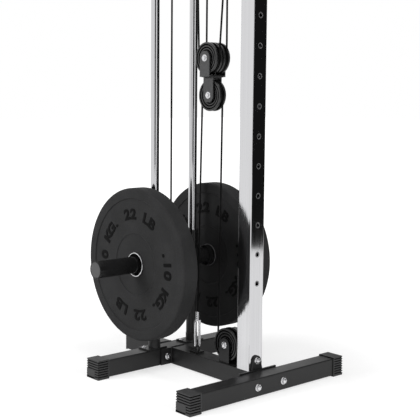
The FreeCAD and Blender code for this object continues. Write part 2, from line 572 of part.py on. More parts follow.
def swivel_head():
    half = SWIVEL_PULLEY_T / 2 + 1.5
    cheek_t = 3.0
    hub_z = SWIVEL_REACH - ARM_T - 2
    pieces = []
    for x0 in (NEAR_X - half - cheek_t, NEAR_X + half):
        pieces.append(box(x0, x0 + cheek_t, SWIVEL_PULLEY_Y - 12, LIFT_CABLE_Y + 8,
                          SWIVEL_Z - hub_z, SWIVEL_Z + hub_z))
    for up in (-1, 1):
        z0, z1 = sorted((SWIVEL_Z + up * (hub_z - 5), SWIVEL_Z + up * hub_z))
        pieces.append(box(NEAR_X - half, NEAR_X + half, LIFT_CABLE_Y - 14, LIFT_CABLE_Y + 8, z0, z1))
        pieces.append(rod((NEAR_X, LIFT_CABLE_Y, SWIVEL_Z + up * hub_z),
                          (NEAR_X, LIFT_CABLE_Y, SWIVEL_Z + up * (SWIVEL_REACH - 0.5)), TRUNNION_R))
    x0, x1 = NEAR_X - half - cheek_t - 4, NEAR_X + half + cheek_t + 4
    pieces.append(rod((x0, SWIVEL_PULLEY_Y, SWIVEL_Z), (x1, SWIVEL_PULLEY_Y, SWIVEL_Z), PULLEY_BOLT_R))
    head = fuse(pieces)
    head = head.cut(rod((NEAR_X, LIFT_CABLE_Y, SWIVEL_Z - 80), (NEAR_X, LIFT_CABLE_Y, SWIVEL_Z + 80),
                        CABLE_HOLE_R))
    add_each("swivel_head", [head])
    wheel = pulley((NEAR_X, SWIVEL_PULLEY_Y, SWIVEL_Z), SWIVEL_PULLEY_R, SWIVEL_GROOVE_R,
                   SWIVEL_PULLEY_T, PULLEY_BOLT_R + RUN_FIT, SWIVEL_PULLEY_T + 2)
    add_each("swivel_pulley", [wheel])


def handle():
    x, y, top = NEAR_X, LIFT_CABLE_Y, HANDLE_TOP
    ball_r = 11.0
    strap = 4.0
    link_z = top - 50
    grip_z = top - GRIP_DROP
    pieces = [Part.makeSphere(ball_r, Vector(x, y, top - ball_r)),
              rod((x, y, top - ball_r), (x, y, link_z), 3.5),
              rod((x - 9, y, link_z), (x + 9, y, link_z), 5.0),
              rod((x - GRIP_HALF, y, grip_z), (x + GRIP_HALF, y, grip_z), GRIP_R)]
    for sign in (-1, 1):
        pieces.append(rod((x + sign * 5, y, link_z), (x + sign * (GRIP_HALF - 3), y, grip_z), strap))
        pieces.append(rod((x + sign * GRIP_HALF, y, grip_z), (x + sign * (GRIP_HALF + 4), y, grip_z), 18.0))
    flat_top = box(x - 12, x + 12, y - 12, y + 12, top - 1.5, top)
    add_each("handle", [fuse(pieces).cut(flat_top)])


# ---- cables ----
def tangent(c1, r1, s1, c2, r2, s2):
    """The straight run between two wheels, as its two contact points in the Y, Z plane.
    A side of +1 touches a wheel on the left of the way from the first to the second."""
    dy, dz = c2[0] - c1[0], c2[1] - c1[1]
    angle = math.atan2(dz, dy) + math.asin((s2 * r2 - s1 * r1) / math.hypot(dy, dz))
    ny, nz = -math.sin(angle), math.cos(angle)
    return (c1[0] + s1 * r1 * ny, c1[1] + s1 * r1 * nz), (c2[0] + s2 * r2 * ny, c2[1] + s2 * r2 * nz)


def cable(x, stops):
    """A cable in the plane X = x: its ends and, between them, wraps of (contact, crown, contact)."""
    edges = []
    here = stops[0]
    for stop in stops[1:]:
        first = stop[0] if isinstance(stop[0], tuple) else stop
        edges.append(Part.LineSegment(Vector(x, *here), Vector(x, *first)).toShape())
        here = first
        if first is not stop:
            edges.append(Part.Arc(*[Vector(x, *p) for p in stop]).toShape())
            here = stop[2]
    path = Part.Wire(edges)
    start = Vector(x, *stops[0])
    heading = edges[0].tangentAt(edges[0].FirstParameter)
    ring_ = Part.Wire(Part.makeCircle(CABLE_R, start, heading))
    return path.makePipeShell([ring_], True, False)


def cables():
    t1, t2, t3 = (T1_Y, TOP_Z), (T2_Y, TOP_Z), (T3_Y, TOP_Z)
    block_up, block_low, low = (BLOCK_Y, BLOCK_UP_Z), (BLOCK_Y, BLOCK_LOW_Z), (LOW_Y, LOW_Z)
    r, low_r = PITCH_R, LOW_PITCH_R
    near_front = tangent(block_up, r, 1, t1, r, -1)
    near_rear = tangent(block_up, r, -1, t3, r, 1)
    add_each("lifting_cable", [cable(NEAR_X, [
        (WEIGHT_CABLE_Y, SLEEVE_Z + 62),
        ((WEIGHT_CABLE_Y, TOP_Z), (T3_Y, TOP_Z + r), near_rear[1]),
        (near_rear[0], (BLOCK_Y, BLOCK_UP_Z - r), near_front[0]),
        (near_front[1], (T1_Y, TOP_Z + r), (LIFT_CABLE_Y, TOP_Z)),
        (LIFT_CABLE_Y, HANDLE_TOP - 1.5)])])
    far_front = tangent(block_up, r, 1, t2, r, -1)
    anchor = (BLOCK_Y + r, PEG_Z)
    add_each("upper_cable", [cable(FAR_X, [
        anchor,
        ((BLOCK_Y + r, BLOCK_UP_Z), (BLOCK_Y, BLOCK_UP_Z - r), far_front[0]),
        (far_front[1], (T2_Y, TOP_Z + r), (BACK_CABLE_Y, TOP_Z)),
        (BACK_CABLE_Y, CARRIAGE_HIGH)])])
    hook = (ANCHOR_Y, FERRULE_TOP)
    rear = tangent(hook, 0, -1, block_low, r, -1)
    front = tangent(low, low_r, -1, block_low, r, 1)
    add_each("lower_cable", [cable(0, [
        hook,
        (rear[1], (BLOCK_Y, BLOCK_LOW_Z + r), front[1]),
        (front[0], (LOW_Y, LOW_Z - low_r), (BACK_CABLE_Y, LOW_Z)),
        (BACK_CABLE_Y, CARRIAGE_LOW)])])


def build():
    crossbars()
    spine_and_stub()
    end_caps()
    upright()
    guide_rods()
    weight_carriage()
    plates()
    pulleys()
    pulley_brackets()
    top_plates()
    overhead_beam()
    frame_bolts()
    anchor_and_hook()
    height_carriage()
    swivel_head()
    handle()
    cables()


build()
os.makedirs("parts", exist_ok=True)
for name, solids in parts.items():
    shape = solids[0] if len(solids) == 1 else Part.makeCompound(solids)
    count = len(shape.Solids)
    print(name, count, "ok" if shape.isValid() else "NOT VALID")
    shape.exportStep("parts/" + name + ".step")
print(len(parts), "nodes")
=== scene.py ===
import bpy
import bmesh
import json
import math
from mathutils import Matrix, Vector


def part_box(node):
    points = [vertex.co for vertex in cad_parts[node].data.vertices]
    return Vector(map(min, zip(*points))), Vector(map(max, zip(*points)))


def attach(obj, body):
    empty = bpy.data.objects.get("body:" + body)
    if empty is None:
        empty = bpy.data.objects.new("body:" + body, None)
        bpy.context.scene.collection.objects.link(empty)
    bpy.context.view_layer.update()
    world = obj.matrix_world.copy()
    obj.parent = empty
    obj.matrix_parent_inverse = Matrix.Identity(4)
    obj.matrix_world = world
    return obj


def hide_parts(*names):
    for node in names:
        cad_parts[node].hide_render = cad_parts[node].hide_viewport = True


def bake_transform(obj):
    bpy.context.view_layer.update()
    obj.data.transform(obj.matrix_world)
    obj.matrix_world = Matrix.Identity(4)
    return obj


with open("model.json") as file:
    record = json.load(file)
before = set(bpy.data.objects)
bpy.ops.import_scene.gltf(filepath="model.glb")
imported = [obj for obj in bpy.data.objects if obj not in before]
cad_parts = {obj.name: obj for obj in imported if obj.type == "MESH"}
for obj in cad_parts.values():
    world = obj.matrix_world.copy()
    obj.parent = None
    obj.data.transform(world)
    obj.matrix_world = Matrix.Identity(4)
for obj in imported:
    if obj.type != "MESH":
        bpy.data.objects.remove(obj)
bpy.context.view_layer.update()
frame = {"nodes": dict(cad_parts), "record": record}

# A plate-loaded cable crossover. Its two towers are alike: the left one (-X) is dressed here, and the
# right one is the same dress turned half round the middle of the machine.
MM = 0.001
TOWER_FRONT = 1020.0           # the middle of the machine to the front of a tower
UPRIGHT_Y = 60.0               # the front of a tower to the front of its upright
TOWER_MIDDLE = 1.33            # the middle of the machine to the middle of a tower's base, in metres
HALF_TURN = Matrix.Rotation(math.pi, 4, "Z")
X, Y, Z = Vector((1, 0, 0)), Vector((0, 1, 0)), Vector((0, 0, 1))


# ---- camera, light and stage
EYE_HEIGHT = 0.808
EYE_AHEAD_OF_BASE = 1.740      # from the front crossbar of the left tower, towards the middle
EYE_TO_SIDE = 1.834
TURN = 0.6915                  # from the way the tower's back points, towards its right
TILT = 0.1054
ROLL = 0.0038
LENS = 80.26
LENS_SHIFT = (0.115, -0.0285)
FLOOR_SIZE = 60
FLOOR_FADE = (0.45, 0.95)      # from the middle of a tower's base: still shaded, and plain white


def add_camera():
    base_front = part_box("front_crossbars")[0].x + TUBE
    data = bpy.data.cameras.new("camera")
    data.sensor_width = 36.0
    data.lens = LENS
    data.shift_x, data.shift_y = LENS_SHIFT
    data.clip_end = 100.0
    camera = bpy.data.objects.new("camera", data)
    bpy.context.scene.collection.objects.link(camera)
    look = Vector((-math.cos(TURN) * math.cos(TILT), math.sin(TURN) * math.cos(TILT), -math.sin(TILT)))
    level = look.cross(Z).normalized()
    upright = level.cross(look)
    right = math.cos(ROLL) * level + math.sin(ROLL) * upright
    up = math.cos(ROLL) * upright - math.sin(ROLL) * level
    turn = Matrix((right, up, -look)).transposed().to_4x4()
    place = Vector((base_front + EYE_AHEAD_OF_BASE, -EYE_TO_SIDE, EYE_HEIGHT))
    camera.matrix_world = Matrix.Translation(place) @ turn
    bpy.context.scene.camera = camera


def deselect():
    if bpy.context.object is not None and bpy.context.object.mode != "OBJECT":
        bpy.ops.object.mode_set(mode="OBJECT")
    bpy.ops.object.select_all(action="DESELECT")


def add_lamp(name, place, aim, size, power):
    data = bpy.data.lights.new(name, "AREA")
    data.shape = "RECTANGLE"
    data.size, data.size_y = size
    data.energy = power
    lamp = bpy.data.objects.new(name, data)
    bpy.context.scene.collection.objects.link(lamp)
    lamp.location = place
    lamp.visible_glossy = False
    lamp.rotation_euler = (Vector(aim) - Vector(place)).to_track_quat("-Z", "Y").to_euler()


def add_node(tree, kind, inputs=(), operation=None):
    """A node with its inputs, each a fixed value or the output of an earlier node."""
    node = tree.nodes.new("ShaderNode" + kind)
    if kind == "Mix":
        node.data_type = "RGBA"
    if operation:
        node.operation = operation
    for label, value in dict(inputs).items():
        if isinstance(value, bpy.types.NodeSocket):
            tree.links.new(value, node.inputs[label])
        else:
            node.inputs[label].default_value = value
    return node


def empty_tree(owner):
    owner.use_nodes = True
    owner.node_tree.nodes.clear()
    return owner.node_tree


def add_world(diffuse, glossy):
    """Soft even light all round: plain white to the camera, a pale room to gloss, dimmer to matt faces."""
    world = bpy.data.worlds.new("studio")
    bpy.context.scene.world = world
    tree = empty_tree(world)
    path = add_node(tree, "LightPath")
    light = add_node(tree, "Background", {"Color": (1, 1, 1, 1), "Strength": diffuse})
    for ray, strength in (("Is Glossy Ray", glossy), ("Is Camera Ray", 1.0)):
        other = add_node(tree, "Background", {"Color": (1, 1, 1, 1), "Strength": strength})
        light = add_node(tree, "MixShader", {0: path.outputs[ray], 1: light.outputs[0], 2: other.outputs[0]})
    add_node(tree, "OutputWorld", {"Surface": light.outputs[0]})


def add_floor(boost, glossy):
    """A pale floor, nearly white to the camera under the machine and plain white further out. Gloss sees it
    as bright as the room."""
    bpy.ops.mesh.primitive_plane_add(size=FLOOR_SIZE, location=(0, 0, 0))
    floor = bpy.context.object
    floor.name = "floor"
    material = bpy.data.materials.new("floor_white")
    tree = empty_tree(material)
    path = add_node(tree, "LightPath")
    camera, gloss = path.outputs["Is Camera Ray"], path.outputs["Is Glossy Ray"]
    fold = add_node(tree, "VectorMath", {0: add_node(tree, "TexCoord").outputs["Object"]}, "ABSOLUTE")
    shift = add_node(tree, "VectorMath", {0: fold.outputs[0], 1: (TOWER_MIDDLE, 0, 0)}, "SUBTRACT")
    away = add_node(tree, "VectorMath", {0: shift.outputs[0]}, "LENGTH")
    fade = add_node(tree, "MapRange", {"Value": away.outputs["Value"], "From Min": FLOOR_FADE[0],
                                       "From Max": FLOOR_FADE[1], "To Min": 0.5})
    seen = add_node(tree, "Math", {0: camera, 1: gloss}, "MAXIMUM")
    share = add_node(tree, "Math", {0: fade.outputs["Result"], 1: seen.outputs[0]}, "MULTIPLY")
    strength = add_node(tree, "Math", {0: camera, 1: boost - glossy, 2: glossy}, "MULTIPLY_ADD")
    glow = add_node(tree, "Emission", {"Strength": strength.outputs[0]})
    matt = add_node(tree, "BsdfDiffuse", {"Color": (0.9, 0.9, 0.9, 1)})
    mix = add_node(tree, "MixShader", {0: share.outputs[0], 1: matt.outputs[0], 2: glow.outputs[0]})
    add_node(tree, "OutputMaterial", {"Surface": mix.outputs[0]})
    floor.data.materials.append(material)


def add_card(name, start, end, low, high, tone):
    """A standing card that only gloss can see, for the dark bands in chrome."""
    start, end = Vector(start), Vector(end)
    run = end - start
    bpy.ops.mesh.primitive_plane_add(size=1, location=(*((start + end) / 2), (low + high) / 2),
                                     rotation=(math.pi / 2, 0, math.atan2(run.y, run.x)))
    card = bpy.context.object
    card.name = name
    card.scale = (run.length, high - low, 1)
    material = bpy.data.materials.new(name + "_black")
    tree = empty_tree(material)
    dark = add_node(tree, "Emission", {"Strength": tone})
    add_node(tree, "OutputMaterial", {"Surface": dark.outputs[0]})
    card.data.materials.append(material)
    card.visible_camera = card.visible_diffuse = card.visible_shadow = card.visible_transmission = False


# ---- finishes
def new_group(name, inputs):
    """A group that gives a colour between two, a roughness between two and a height."""
    group = bpy.data.node_groups.new(name, "ShaderNodeTree")
    inputs = inputs + [("Dark", "Color", (0.1, 0.1, 0.1, 1)), ("Light", "Color", (0.2, 0.2, 0.2, 1)),
                       ("Rough Low", "Float", 0.4), ("Rough High", "Float", 0.5)]
    for label, kind, value in inputs:
        socket = group.interface.new_socket(label, in_out="INPUT", socket_type="NodeSocket" + kind)
        socket.default_value = value
    for label, kind in (("Color", "Color"), ("Roughness", "Float"), ("Height", "Float")):
        group.interface.new_socket(label, in_out="OUTPUT", socket_type="NodeSocket" + kind)
    return group, group.nodes.new("NodeGroupInput").outputs


def end_group(group, inn, tint, rough, span, height):
    """The group's colour, roughness and height, from three masks."""
    colour = add_node(group, "Mix", {"Factor": tint, "A": inn["Dark"], "B": inn["Light"]})
    ranged = add_node(group, "MapRange", {"Value": rough, "From Min": span[0], "From Max": span[1],
                                          "To Min": inn["Rough Low"], "To Max": inn["Rough High"]})
    out = group.nodes.new("NodeGroupOutput")
    group.links.new(colour.outputs["Result"], out.inputs["Color"])
    group.links.new(ranged.outputs["Result"], out.inputs["Roughness"])
    group.links.new(height, out.inputs["Height"])
    return group


def build_grain_group():
    """Fine even grain with slow cloudiness."""
    group, inn = new_group("grain", [("Grain Scale", "Float", 900.0), ("Cloud Scale", "Float", 9.0)])
    place = add_node(group, "TexCoord").outputs["Object"]
    fine = add_node(group, "TexNoise", {"Vector": place, "Scale": inn["Grain Scale"], "Detail": 2.0})
    cloud = add_node(group, "TexNoise", {"Vector": place, "Scale": inn["Cloud Scale"], "Detail": 4.0})
    both = add_node(group, "Math", {0: fine.outputs["Fac"], 1: cloud.outputs["Fac"]}, "MULTIPLY")
    spread = add_node(group, "MapRange", {"Value": both.outputs[0], "From Min": 0.12, "From Max": 0.42})
    return end_group(group, inn, spread.outputs["Result"], cloud.outputs["Fac"], (0.3, 0.7),
                     fine.outputs["Fac"])


def build_drawn_group():
    """Fine lines drawn along one way of the metal, with a few soft smudges."""
    group, inn = new_group("drawn_metal", [("Stretch", "Vector", (300.0, 300.0, 3.0))])
    place = add_node(group, "TexCoord").outputs["Object"]
    scaled = add_node(group, "VectorMath", {0: place, 1: inn["Stretch"]}, "MULTIPLY")
    lines = add_node(group, "TexNoise", {"Vector": scaled.outputs[0], "Scale": 1.0, "Detail": 3.0})
    smudge = add_node(group, "TexNoise", {"Vector": place, "Scale": 6.0, "Detail": 3.0})
    both = add_node(group, "Math", {0: lines.outputs["Fac"], 1: smudge.outputs["Fac"]}, "MULTIPLY")
    return end_group(group, inn, lines.outputs["Fac"], both.outputs[0], (0.12, 0.42), lines.outputs["Fac"])


GRAIN = build_grain_group()
DRAWN = build_drawn_group()


def finish_from(name, group, values, bump, depth, metallic, specular):
    """A material whose colour, roughness and relief come from one of the groups."""
    material = bpy.data.materials.new(name)
    material.use_nodes = True
    tree = material.node_tree
    shader = tree.nodes["Principled BSDF"]
    shader.inputs["Metallic"].default_value = metallic
    shader.inputs["Specular IOR Level"].default_value = specular
    effect = tree.nodes.new("ShaderNodeGroup")
    effect.node_tree = group
    for label, value in values.items():
        effect.inputs[label].default_value = value
    relief = add_node(tree, "Bump", {"Strength": bump, "Distance": depth, "Height": effect.outputs["Height"]})
    tree.links.new(effect.outputs["Color"], shader.inputs["Base Color"])
    tree.links.new(effect.outputs["Roughness"], shader.inputs["Roughness"])
    tree.links.new(relief.outputs["Normal"], shader.inputs["Normal"])
    return material


def grey(value):
    return (value, value, value * 1.02, 1)


def tones(dark, light, low, high):
    return {"Dark": grey(dark), "Light": grey(light), "Rough Low": low, "Rough High": high}


def grainy(name, tone, grain, cloud, bump, depth=0.0002, specular=0.5):
    values = {**tones(*tone), "Grain Scale": grain, "Cloud Scale": cloud}
    return finish_from(name, GRAIN, values, bump, depth, 0.0, specular)


def drawn(name, tone, stretch, bump, depth, metallic=1.0, specular=0.5):
    values = {**tones(*tone), "Stretch": stretch}
    return finish_from(name, DRAWN, values, bump, depth, metallic, specular)


# each tone is a dark and a light, then the least and the most roughness
EVEN = (300.0, 300.0, 300.0)
PAINT = grainy("black_powder_coat", (0.010, 0.022, 0.3, 0.44), 1400.0, 7.0, 0.25, specular=0.36)
GLOSS_PAINT = grainy("black_gloss_coat", (0.006, 0.012, 0.16, 0.24), 900.0, 9.0, 0.1, 0.0001, 0.4)
BRACKET = grainy("bracket_coat", (0.035, 0.06, 0.34, 0.46), 1400.0, 12.0, 0.2, specular=0.45)
CHROME = drawn("chrome_plate", (0.7, 0.84, 0.045, 0.11), (230.0, 230.0, 1.4), 0.5, 0.0002)
ROD_CHROME = drawn("polished_rod", (0.62, 0.8, 0.05, 0.12), (420.0, 420.0, 2.0), 0.02, 0.00005)
ZINC = drawn("zinc_plate", (0.8, 0.97, 0.14, 0.3), EVEN, 0.1, 0.0001)
BARE_EDGE = drawn("bare_edge", (0.1, 0.16, 0.45, 0.6), EVEN, 0.1, 0.0001, 0.3, 0.2)
SHOE = grainy("shoe_rubber", (0.026, 0.045, 0.42, 0.6), 1100.0, 20.0, 0.3, specular=0.4)
BUFFER = grainy("buffer_rubber", (0.01, 0.02, 0.6, 0.75), 900.0, 20.0, 0.3, specular=0.3)
PLATE = grainy("plate_rubber", (0.018, 0.034, 0.62, 0.8), 620.0, 14.0, 0.6, 0.0006, 0.1)
PULLEY = grainy("pulley_nylon", (0.018, 0.032, 0.2, 0.32), 700.0, 25.0, 0.12)
CABLE = grainy("cable_coat", (0.003, 0.007, 0.4, 0.5), 2400.0, 40.0, 0.0, 0.0001, 0.1)
KNOB = grainy("knob_plastic", (0.014, 0.026, 0.34, 0.46), 1200.0, 30.0, 0.2)
GRIP = grainy("grip_foam", (0.012, 0.026, 0.7, 0.85), 800.0, 30.0, 0.5, 0.0004)
MARK = grainy("mark_rubber", (0.002, 0.005, 0.5, 0.65), 620.0, 14.0, 0.1, specular=0.08)
# near black: painted shade for the inside of the plate bores, the pulley grooves and recessed bands, the gaps
# between shoe ribs and the seam of the pulley block
PAINTED_SHADE = grainy("hollow_black", (0.001, 0.003, 0.7, 0.85), 900.0, 20.0, 0.1, 0.0001, 0.05)
PLUG = grainy("sleeve_plug", (0.05, 0.07, 0.35, 0.5), 900.0, 30.0, 0.2)
WEBBING = drawn("nylon_webbing", (0.01, 0.03, 0.7, 0.9), (900.0, 900.0, 900.0), 0.7, 0.0005, 0.0)
FINISHES = {"frame": PAINT, "chrome": CHROME, "bolt": ZINC, "cap": SHOE, "bumper": BUFFER, "plate": PLATE,
            "pulley": PULLEY, "cable": CABLE, "knob": KNOB, "grip": GRIP}
for part in frame["record"]["subparts"]:
    node = frame["nodes"][part["node"]]
    finish = FINISHES[part["material_slot"]]
    if not node.data.materials:
        node.data.materials.append(finish)
    for place in node.material_slots:
        place.material = finish


# ---- shaping
def pick(piece):
    deselect()
    bpy.context.view_layer.objects.active = piece
    piece.select_set(True)


def edit(piece):
    pick(piece)
    bpy.ops.object.mode_set(mode="EDIT")
    bpy.ops.mesh.select_mode(type="VERT")


def select_everything():
    bpy.ops.mesh.select_all(action="SELECT")


def leave():
    bpy.ops.object.mode_set(mode="OBJECT")


def settle(piece):
    """The object goes to the origin and its place into its mesh."""
    pick(piece)
    bpy.ops.object.transform_apply(location=True, rotation=True, scale=True)


def placed(name):
    """The piece that was just added, with its name, and its place in its mesh."""
    piece = bpy.context.object
    piece.name = name
    settle(piece)
    return piece


def smooth(piece, degrees=32, flat_faces=True):
    """Smooth shading over round parts. Flat faces stay truly flat up to their bevels."""
    pick(piece)
    bpy.ops.object.shade_smooth_by_angle(angle=math.radians(degrees))
    if flat_faces:
        even = piece.modifiers.new("even_normals", "WEIGHTED_NORMAL")
        even.keep_sharp = True
        bpy.ops.object.modifier_apply(modifier=even.name)
    return piece


def choose(piece, kind, test):
    """In edit mode, selects the vertices, edges or faces that pass a test and nothing else."""
    bpy.ops.mesh.select_mode(type=kind.upper())
    bpy.ops.mesh.select_all(action="DESELECT")
    mesh = bmesh.from_edit_mesh(piece.data)
    for item in {"vert": mesh.verts, "edge": mesh.edges, "face": mesh.faces}[kind]:
        if test(item):
            item.select_set(True)
    mesh.select_flush_mode()
    bmesh.update_edit_mesh(piece.data)


def bevel_modifier(piece, width, segments=2, degrees=35):
    pick(piece)
    softener = piece.modifiers.new("soft_edges", "BEVEL")
    softener.width = width
    softener.segments = segments
    softener.limit_method = "ANGLE"
    softener.angle_limit = math.radians(degrees)
    softener.use_clamp_overlap = True
    softener.miter_outer = "MITER_ARC"
    bpy.ops.object.modifier_apply(modifier=softener.name)


def soften(piece, width, segments=2, degrees=32):
    """Rounded sharp edges under smooth shading."""
    bevel_modifier(piece, width, segments)
    return smooth(piece, degrees)


def add_to_scene(name, mesh):
    piece = bpy.data.objects.new(name, mesh)
    bpy.context.scene.collection.objects.link(piece)
    return piece


def copy_of_node(node, name):
    """A merged, cleaned copy of a construction node's mesh."""
    piece = add_to_scene(name, frame["nodes"][node].data.copy())
    edit(piece)
    select_everything()
    bpy.ops.mesh.remove_doubles(threshold=0.00002)
    bpy.ops.mesh.customdata_custom_splitnormals_clear()
    bpy.ops.mesh.dissolve_limited(angle_limit=math.radians(0.3))
    leave()
    return piece


def dress(piece, finish):
    """The piece's main finish. Faces that were given a finish of their own keep it."""
    if piece.data.materials:
        piece.data.materials[0] = finish
    else:
        piece.data.materials.append(finish)


def second_finish(piece, finish, test):
    """The faces that pass a test take a finish of their own."""
    piece.data.materials.clear()
    for each in (PAINT, finish):
        piece.data.materials.append(each)
    edit(piece)
    choose(piece, "face", test)
    piece.active_material_index = 1
    bpy.ops.object.material_slot_assign()
    leave()


def adopt(piece, body, slot, finish=None, nodes=()):
    """The piece takes its finish, rides on its body and stands for these nodes."""
    dress(piece, finish or FINISHES[slot])
    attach(piece, body)
    if nodes:
        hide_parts(*nodes)


def spot(across, back, up):
    """A point of the left tower, in millimetres across it, back from its front, and up from the floor."""
    return Vector((-(TOWER_FRONT + back), across, up)) * MM


def stamp(template, name, place, turn):
    """One more of a small piece, somewhere else."""
    piece = add_to_scene(name, template.data.copy())
    piece.data.transform(Matrix.Translation(place) @ turn.to_matrix().to_4x4())
    return piece


def twin_of(piece, name):
    other = add_to_scene(name, piece.data.copy())
    other.data.transform(HALF_TURN)
    return other


def pair(piece, body, slot, finish=None, nodes=()):
    """A piece of the left tower and its copy on the right one. Bodies and nodes are given without left_."""
    right = twin_of(piece, piece.name.replace("left_", "right_"))
    for side, one in (("left_", piece), ("right_", right)):
        adopt(one, body if body == "frame" else side + body, slot, finish, [side + n for n in nodes])


def shared(piece, slot, finish=None, nodes=()):
    """A piece of the left tower and its copy, for nodes that hold both towers' pieces."""
    right = twin_of(piece, piece.name.replace("left_", "right_"))
    adopt(piece, "frame", slot, finish, nodes)
    adopt(right, "frame", slot, finish)


def middle(node):
    """The middle of a node, in metres."""
    low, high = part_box(node)
    return (low + high) / 2


def left_middle_x(node):
    """The middle, along the beam, of the left tower's share of a node that holds both towers' pieces."""
    xs = [v.co.x for v in frame["nodes"][node].data.vertices if v.co.x < 0]
    return (min(xs) + max(xs)) / 2


def in_tower(node):
    """How far back and how high the middle of a left node is, in millimetres, as spot() takes them."""
    centre = middle(node)
    return -centre.x / MM - TOWER_FRONT, centre.z / MM


def half_size(node):
    low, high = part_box(node)
    return (high - low) / 2


def lathe(name, outline, centre, axis=Y, steps=96, degrees=0):
    """A ring or wheel: an outline of (along the axis, radius) points in millimetres, turned round it."""
    out = Z if abs(axis.z) < 0.5 else X
    centre = Vector(centre)
    points = [centre + (axis * along + out * radius) * MM for along, radius in outline]
    bpy.ops.mesh.primitive_plane_add(size=0.001, location=points[0])
    piece = bpy.context.object
    piece.name = name
    edit(piece)
    select_everything()
    bpy.ops.mesh.merge(type="CENTER")
    for here, there in zip(points, points[1:]):
        bpy.ops.mesh.extrude_region_move(TRANSFORM_OT_translate={"value": there - here})
    select_everything()
    bpy.ops.mesh.spin(steps=steps, angle=2 * math.pi, center=centre, axis=axis)
    select_everything()
    bpy.ops.mesh.remove_doubles(threshold=0.000005)
    bpy.ops.mesh.fill_holes(sides=0)
    bpy.ops.mesh.normals_make_consistent(inside=False)
    leave()
    settle(piece)
    return smooth(piece, degrees) if degrees else piece


def arc_points(centre, radius, start, stop, count):
    """Points (along, radius) of a round corner, for an outline. Angles are in degrees."""
    turns = [math.radians(start + (stop - start) * i / count) for i in range(count + 1)]
    return [(centre[0] + radius * math.cos(a), centre[1] + radius * math.sin(a)) for a in turns]


def cylinder(name, start, end, radius, sides):
    start, end = Vector(start), Vector(end)
    run = end - start
    bpy.ops.mesh.primitive_cylinder_add(vertices=sides, radius=radius, depth=run.length,
                                        location=(start + end) / 2,
                                        rotation=run.to_track_quat("Z", "Y").to_euler())
    return placed(name)


def solid_rod(name, start, end, radius, edge=0.001, sides=48):
    """A round bar with its two end edges bevelled."""
    return soften(cylinder(name, start, end, radius, sides), edge)


def block(name, low, high):
    low, high = Vector(low), Vector(high)
    bpy.ops.mesh.primitive_cube_add(size=1, location=(low + high) / 2, scale=high - low)
    return placed(name)


def joined(name, pieces):
    deselect()
    for piece in pieces:
        piece.select_set(True)
    bpy.context.view_layer.objects.active = pieces[0]
    if len(pieces) > 1:
        bpy.ops.object.join()
    pieces[0].name = name
    return pieces[0]


def runs_along(edge, axis):
    way = edge.verts[1].co - edge.verts[0].co
    return way.length > 0.03 and abs(way.normalized().dot(axis)) > 0.999


# ---- square tubes
TUBE = 50.8 * MM
CORNER = 3.2 * MM


def round_tube(node, name, axis, slot="frame", edge=0.4 * MM, holes=0.0):
    """A square tube from the frame, with its long outside corners rounded and every cut edge broken."""
    piece = copy_of_node(node, name)
    edit(piece)
    if holes:
        wall = max(abs(v.co.x) for v in piece.data.vertices) - TUBE

        def hole_edge(e):
            ends = [abs(abs(v.co.x) - wall) < 0.05 * MM for v in e.verts]
            return all(ends) and (e.verts[0].co - e.verts[1].co).length < 6 * MM
        choose(piece, "edge", hole_edge)
        bpy.ops.mesh.bevel(offset=holes, segments=3, affect="EDGES", clamp_overlap=True)

    def outside_corner(e):
        return runs_along(e, axis) and len(e.link_faces) == 2 and e.calc_face_angle(0) >= 1.2 and e.is_convex
    choose(piece, "edge", outside_corner)
    bpy.ops.mesh.bevel(offset=CORNER, segments=4, affect="EDGES", clamp_overlap=True)
    leave()
    bevel_modifier(piece, edge, 1, 50)
    smooth(piece, 40)
    adopt(piece, "frame", slot, None, [node])


def refine(node, name, width, segments=2, slot="frame"):
    """A machined or pressed piece from the construction, with its sharp edges rounded over."""
    adopt(soften(copy_of_node(node, name), width, segments), "frame", slot, None, [node])


def refine_pair(node, name, width, finish=None):
    """The same for a painted piece that each tower has as a body of its own."""
    pair(soften(copy_of_node("left_" + node, "left_" + name), width), node, "frame", finish, [node])


# ---- bumper plates, in millimetres
PLATE_R = 225.0
PLATE_HALF = 26.0
RIM_R = 193.5               # inside edge of the raised rim
HUB_R = 95.0                # lip round the hub
INSERT_R = 35.5
BORE_R = 25.2
MARK_R = 147.0              # middle of the ring of marks
MARK_SIZE = 42.0
MARK_RISE = 1.3
WEB_DROP = 3.4              # the web below the rim
MARKS = (("22 LB", 8), (".10 KG.", 106), ("22 LB", 188), (".10 KG.", 286))
MARK_STEP = 11.5            # degrees from one letter to the next
MARK_STRETCH = 1.25


def outward(centre):
    return Y if centre.y > 0 else -Y


def plate_body(name, centre):
    edge = arc_points((PLATE_HALF - 7, PLATE_R - 7), 7, 0, 90, 5)
    web, seat = PLATE_HALF - WEB_DROP, PLATE_HALF - 5.4
    half = [(seat - 1, INSERT_R + 0.2), (seat, INSERT_R + 1.5), (seat, 46), (web - 1.6, 60),
            (web - 1.6, HUB_R - 6), (web + 0.6, HUB_R - 2.8), (web + 0.6, HUB_R - 0.6), (web, HUB_R + 0.8),
            (web, RIM_R - 1.2), (web + 0.3, RIM_R - 0.4), (PLATE_HALF - 0.5, RIM_R + 1.2),
            (PLATE_HALF, RIM_R + 2.2)] + edge
    inner = [(-x, r) for x, r in reversed(half[2:])]
    bore = [(-seat, INSERT_R - 2), (-seat - 1, INSERT_R - 4), (-seat - 1, BORE_R + 1.5),
            (-seat + 1, BORE_R + 0.2), (0, BORE_R + 0.2)]
    return lathe(name, half + inner + bore + half[:1], centre, outward(centre), 160, 28)


def off_axis(face, centre):
    """How far the middle of a face is from a level axis across the tower, in millimetres."""
    point = face.calc_center_median()
    return math.hypot(point.x - centre.x, point.z - centre.z) / MM


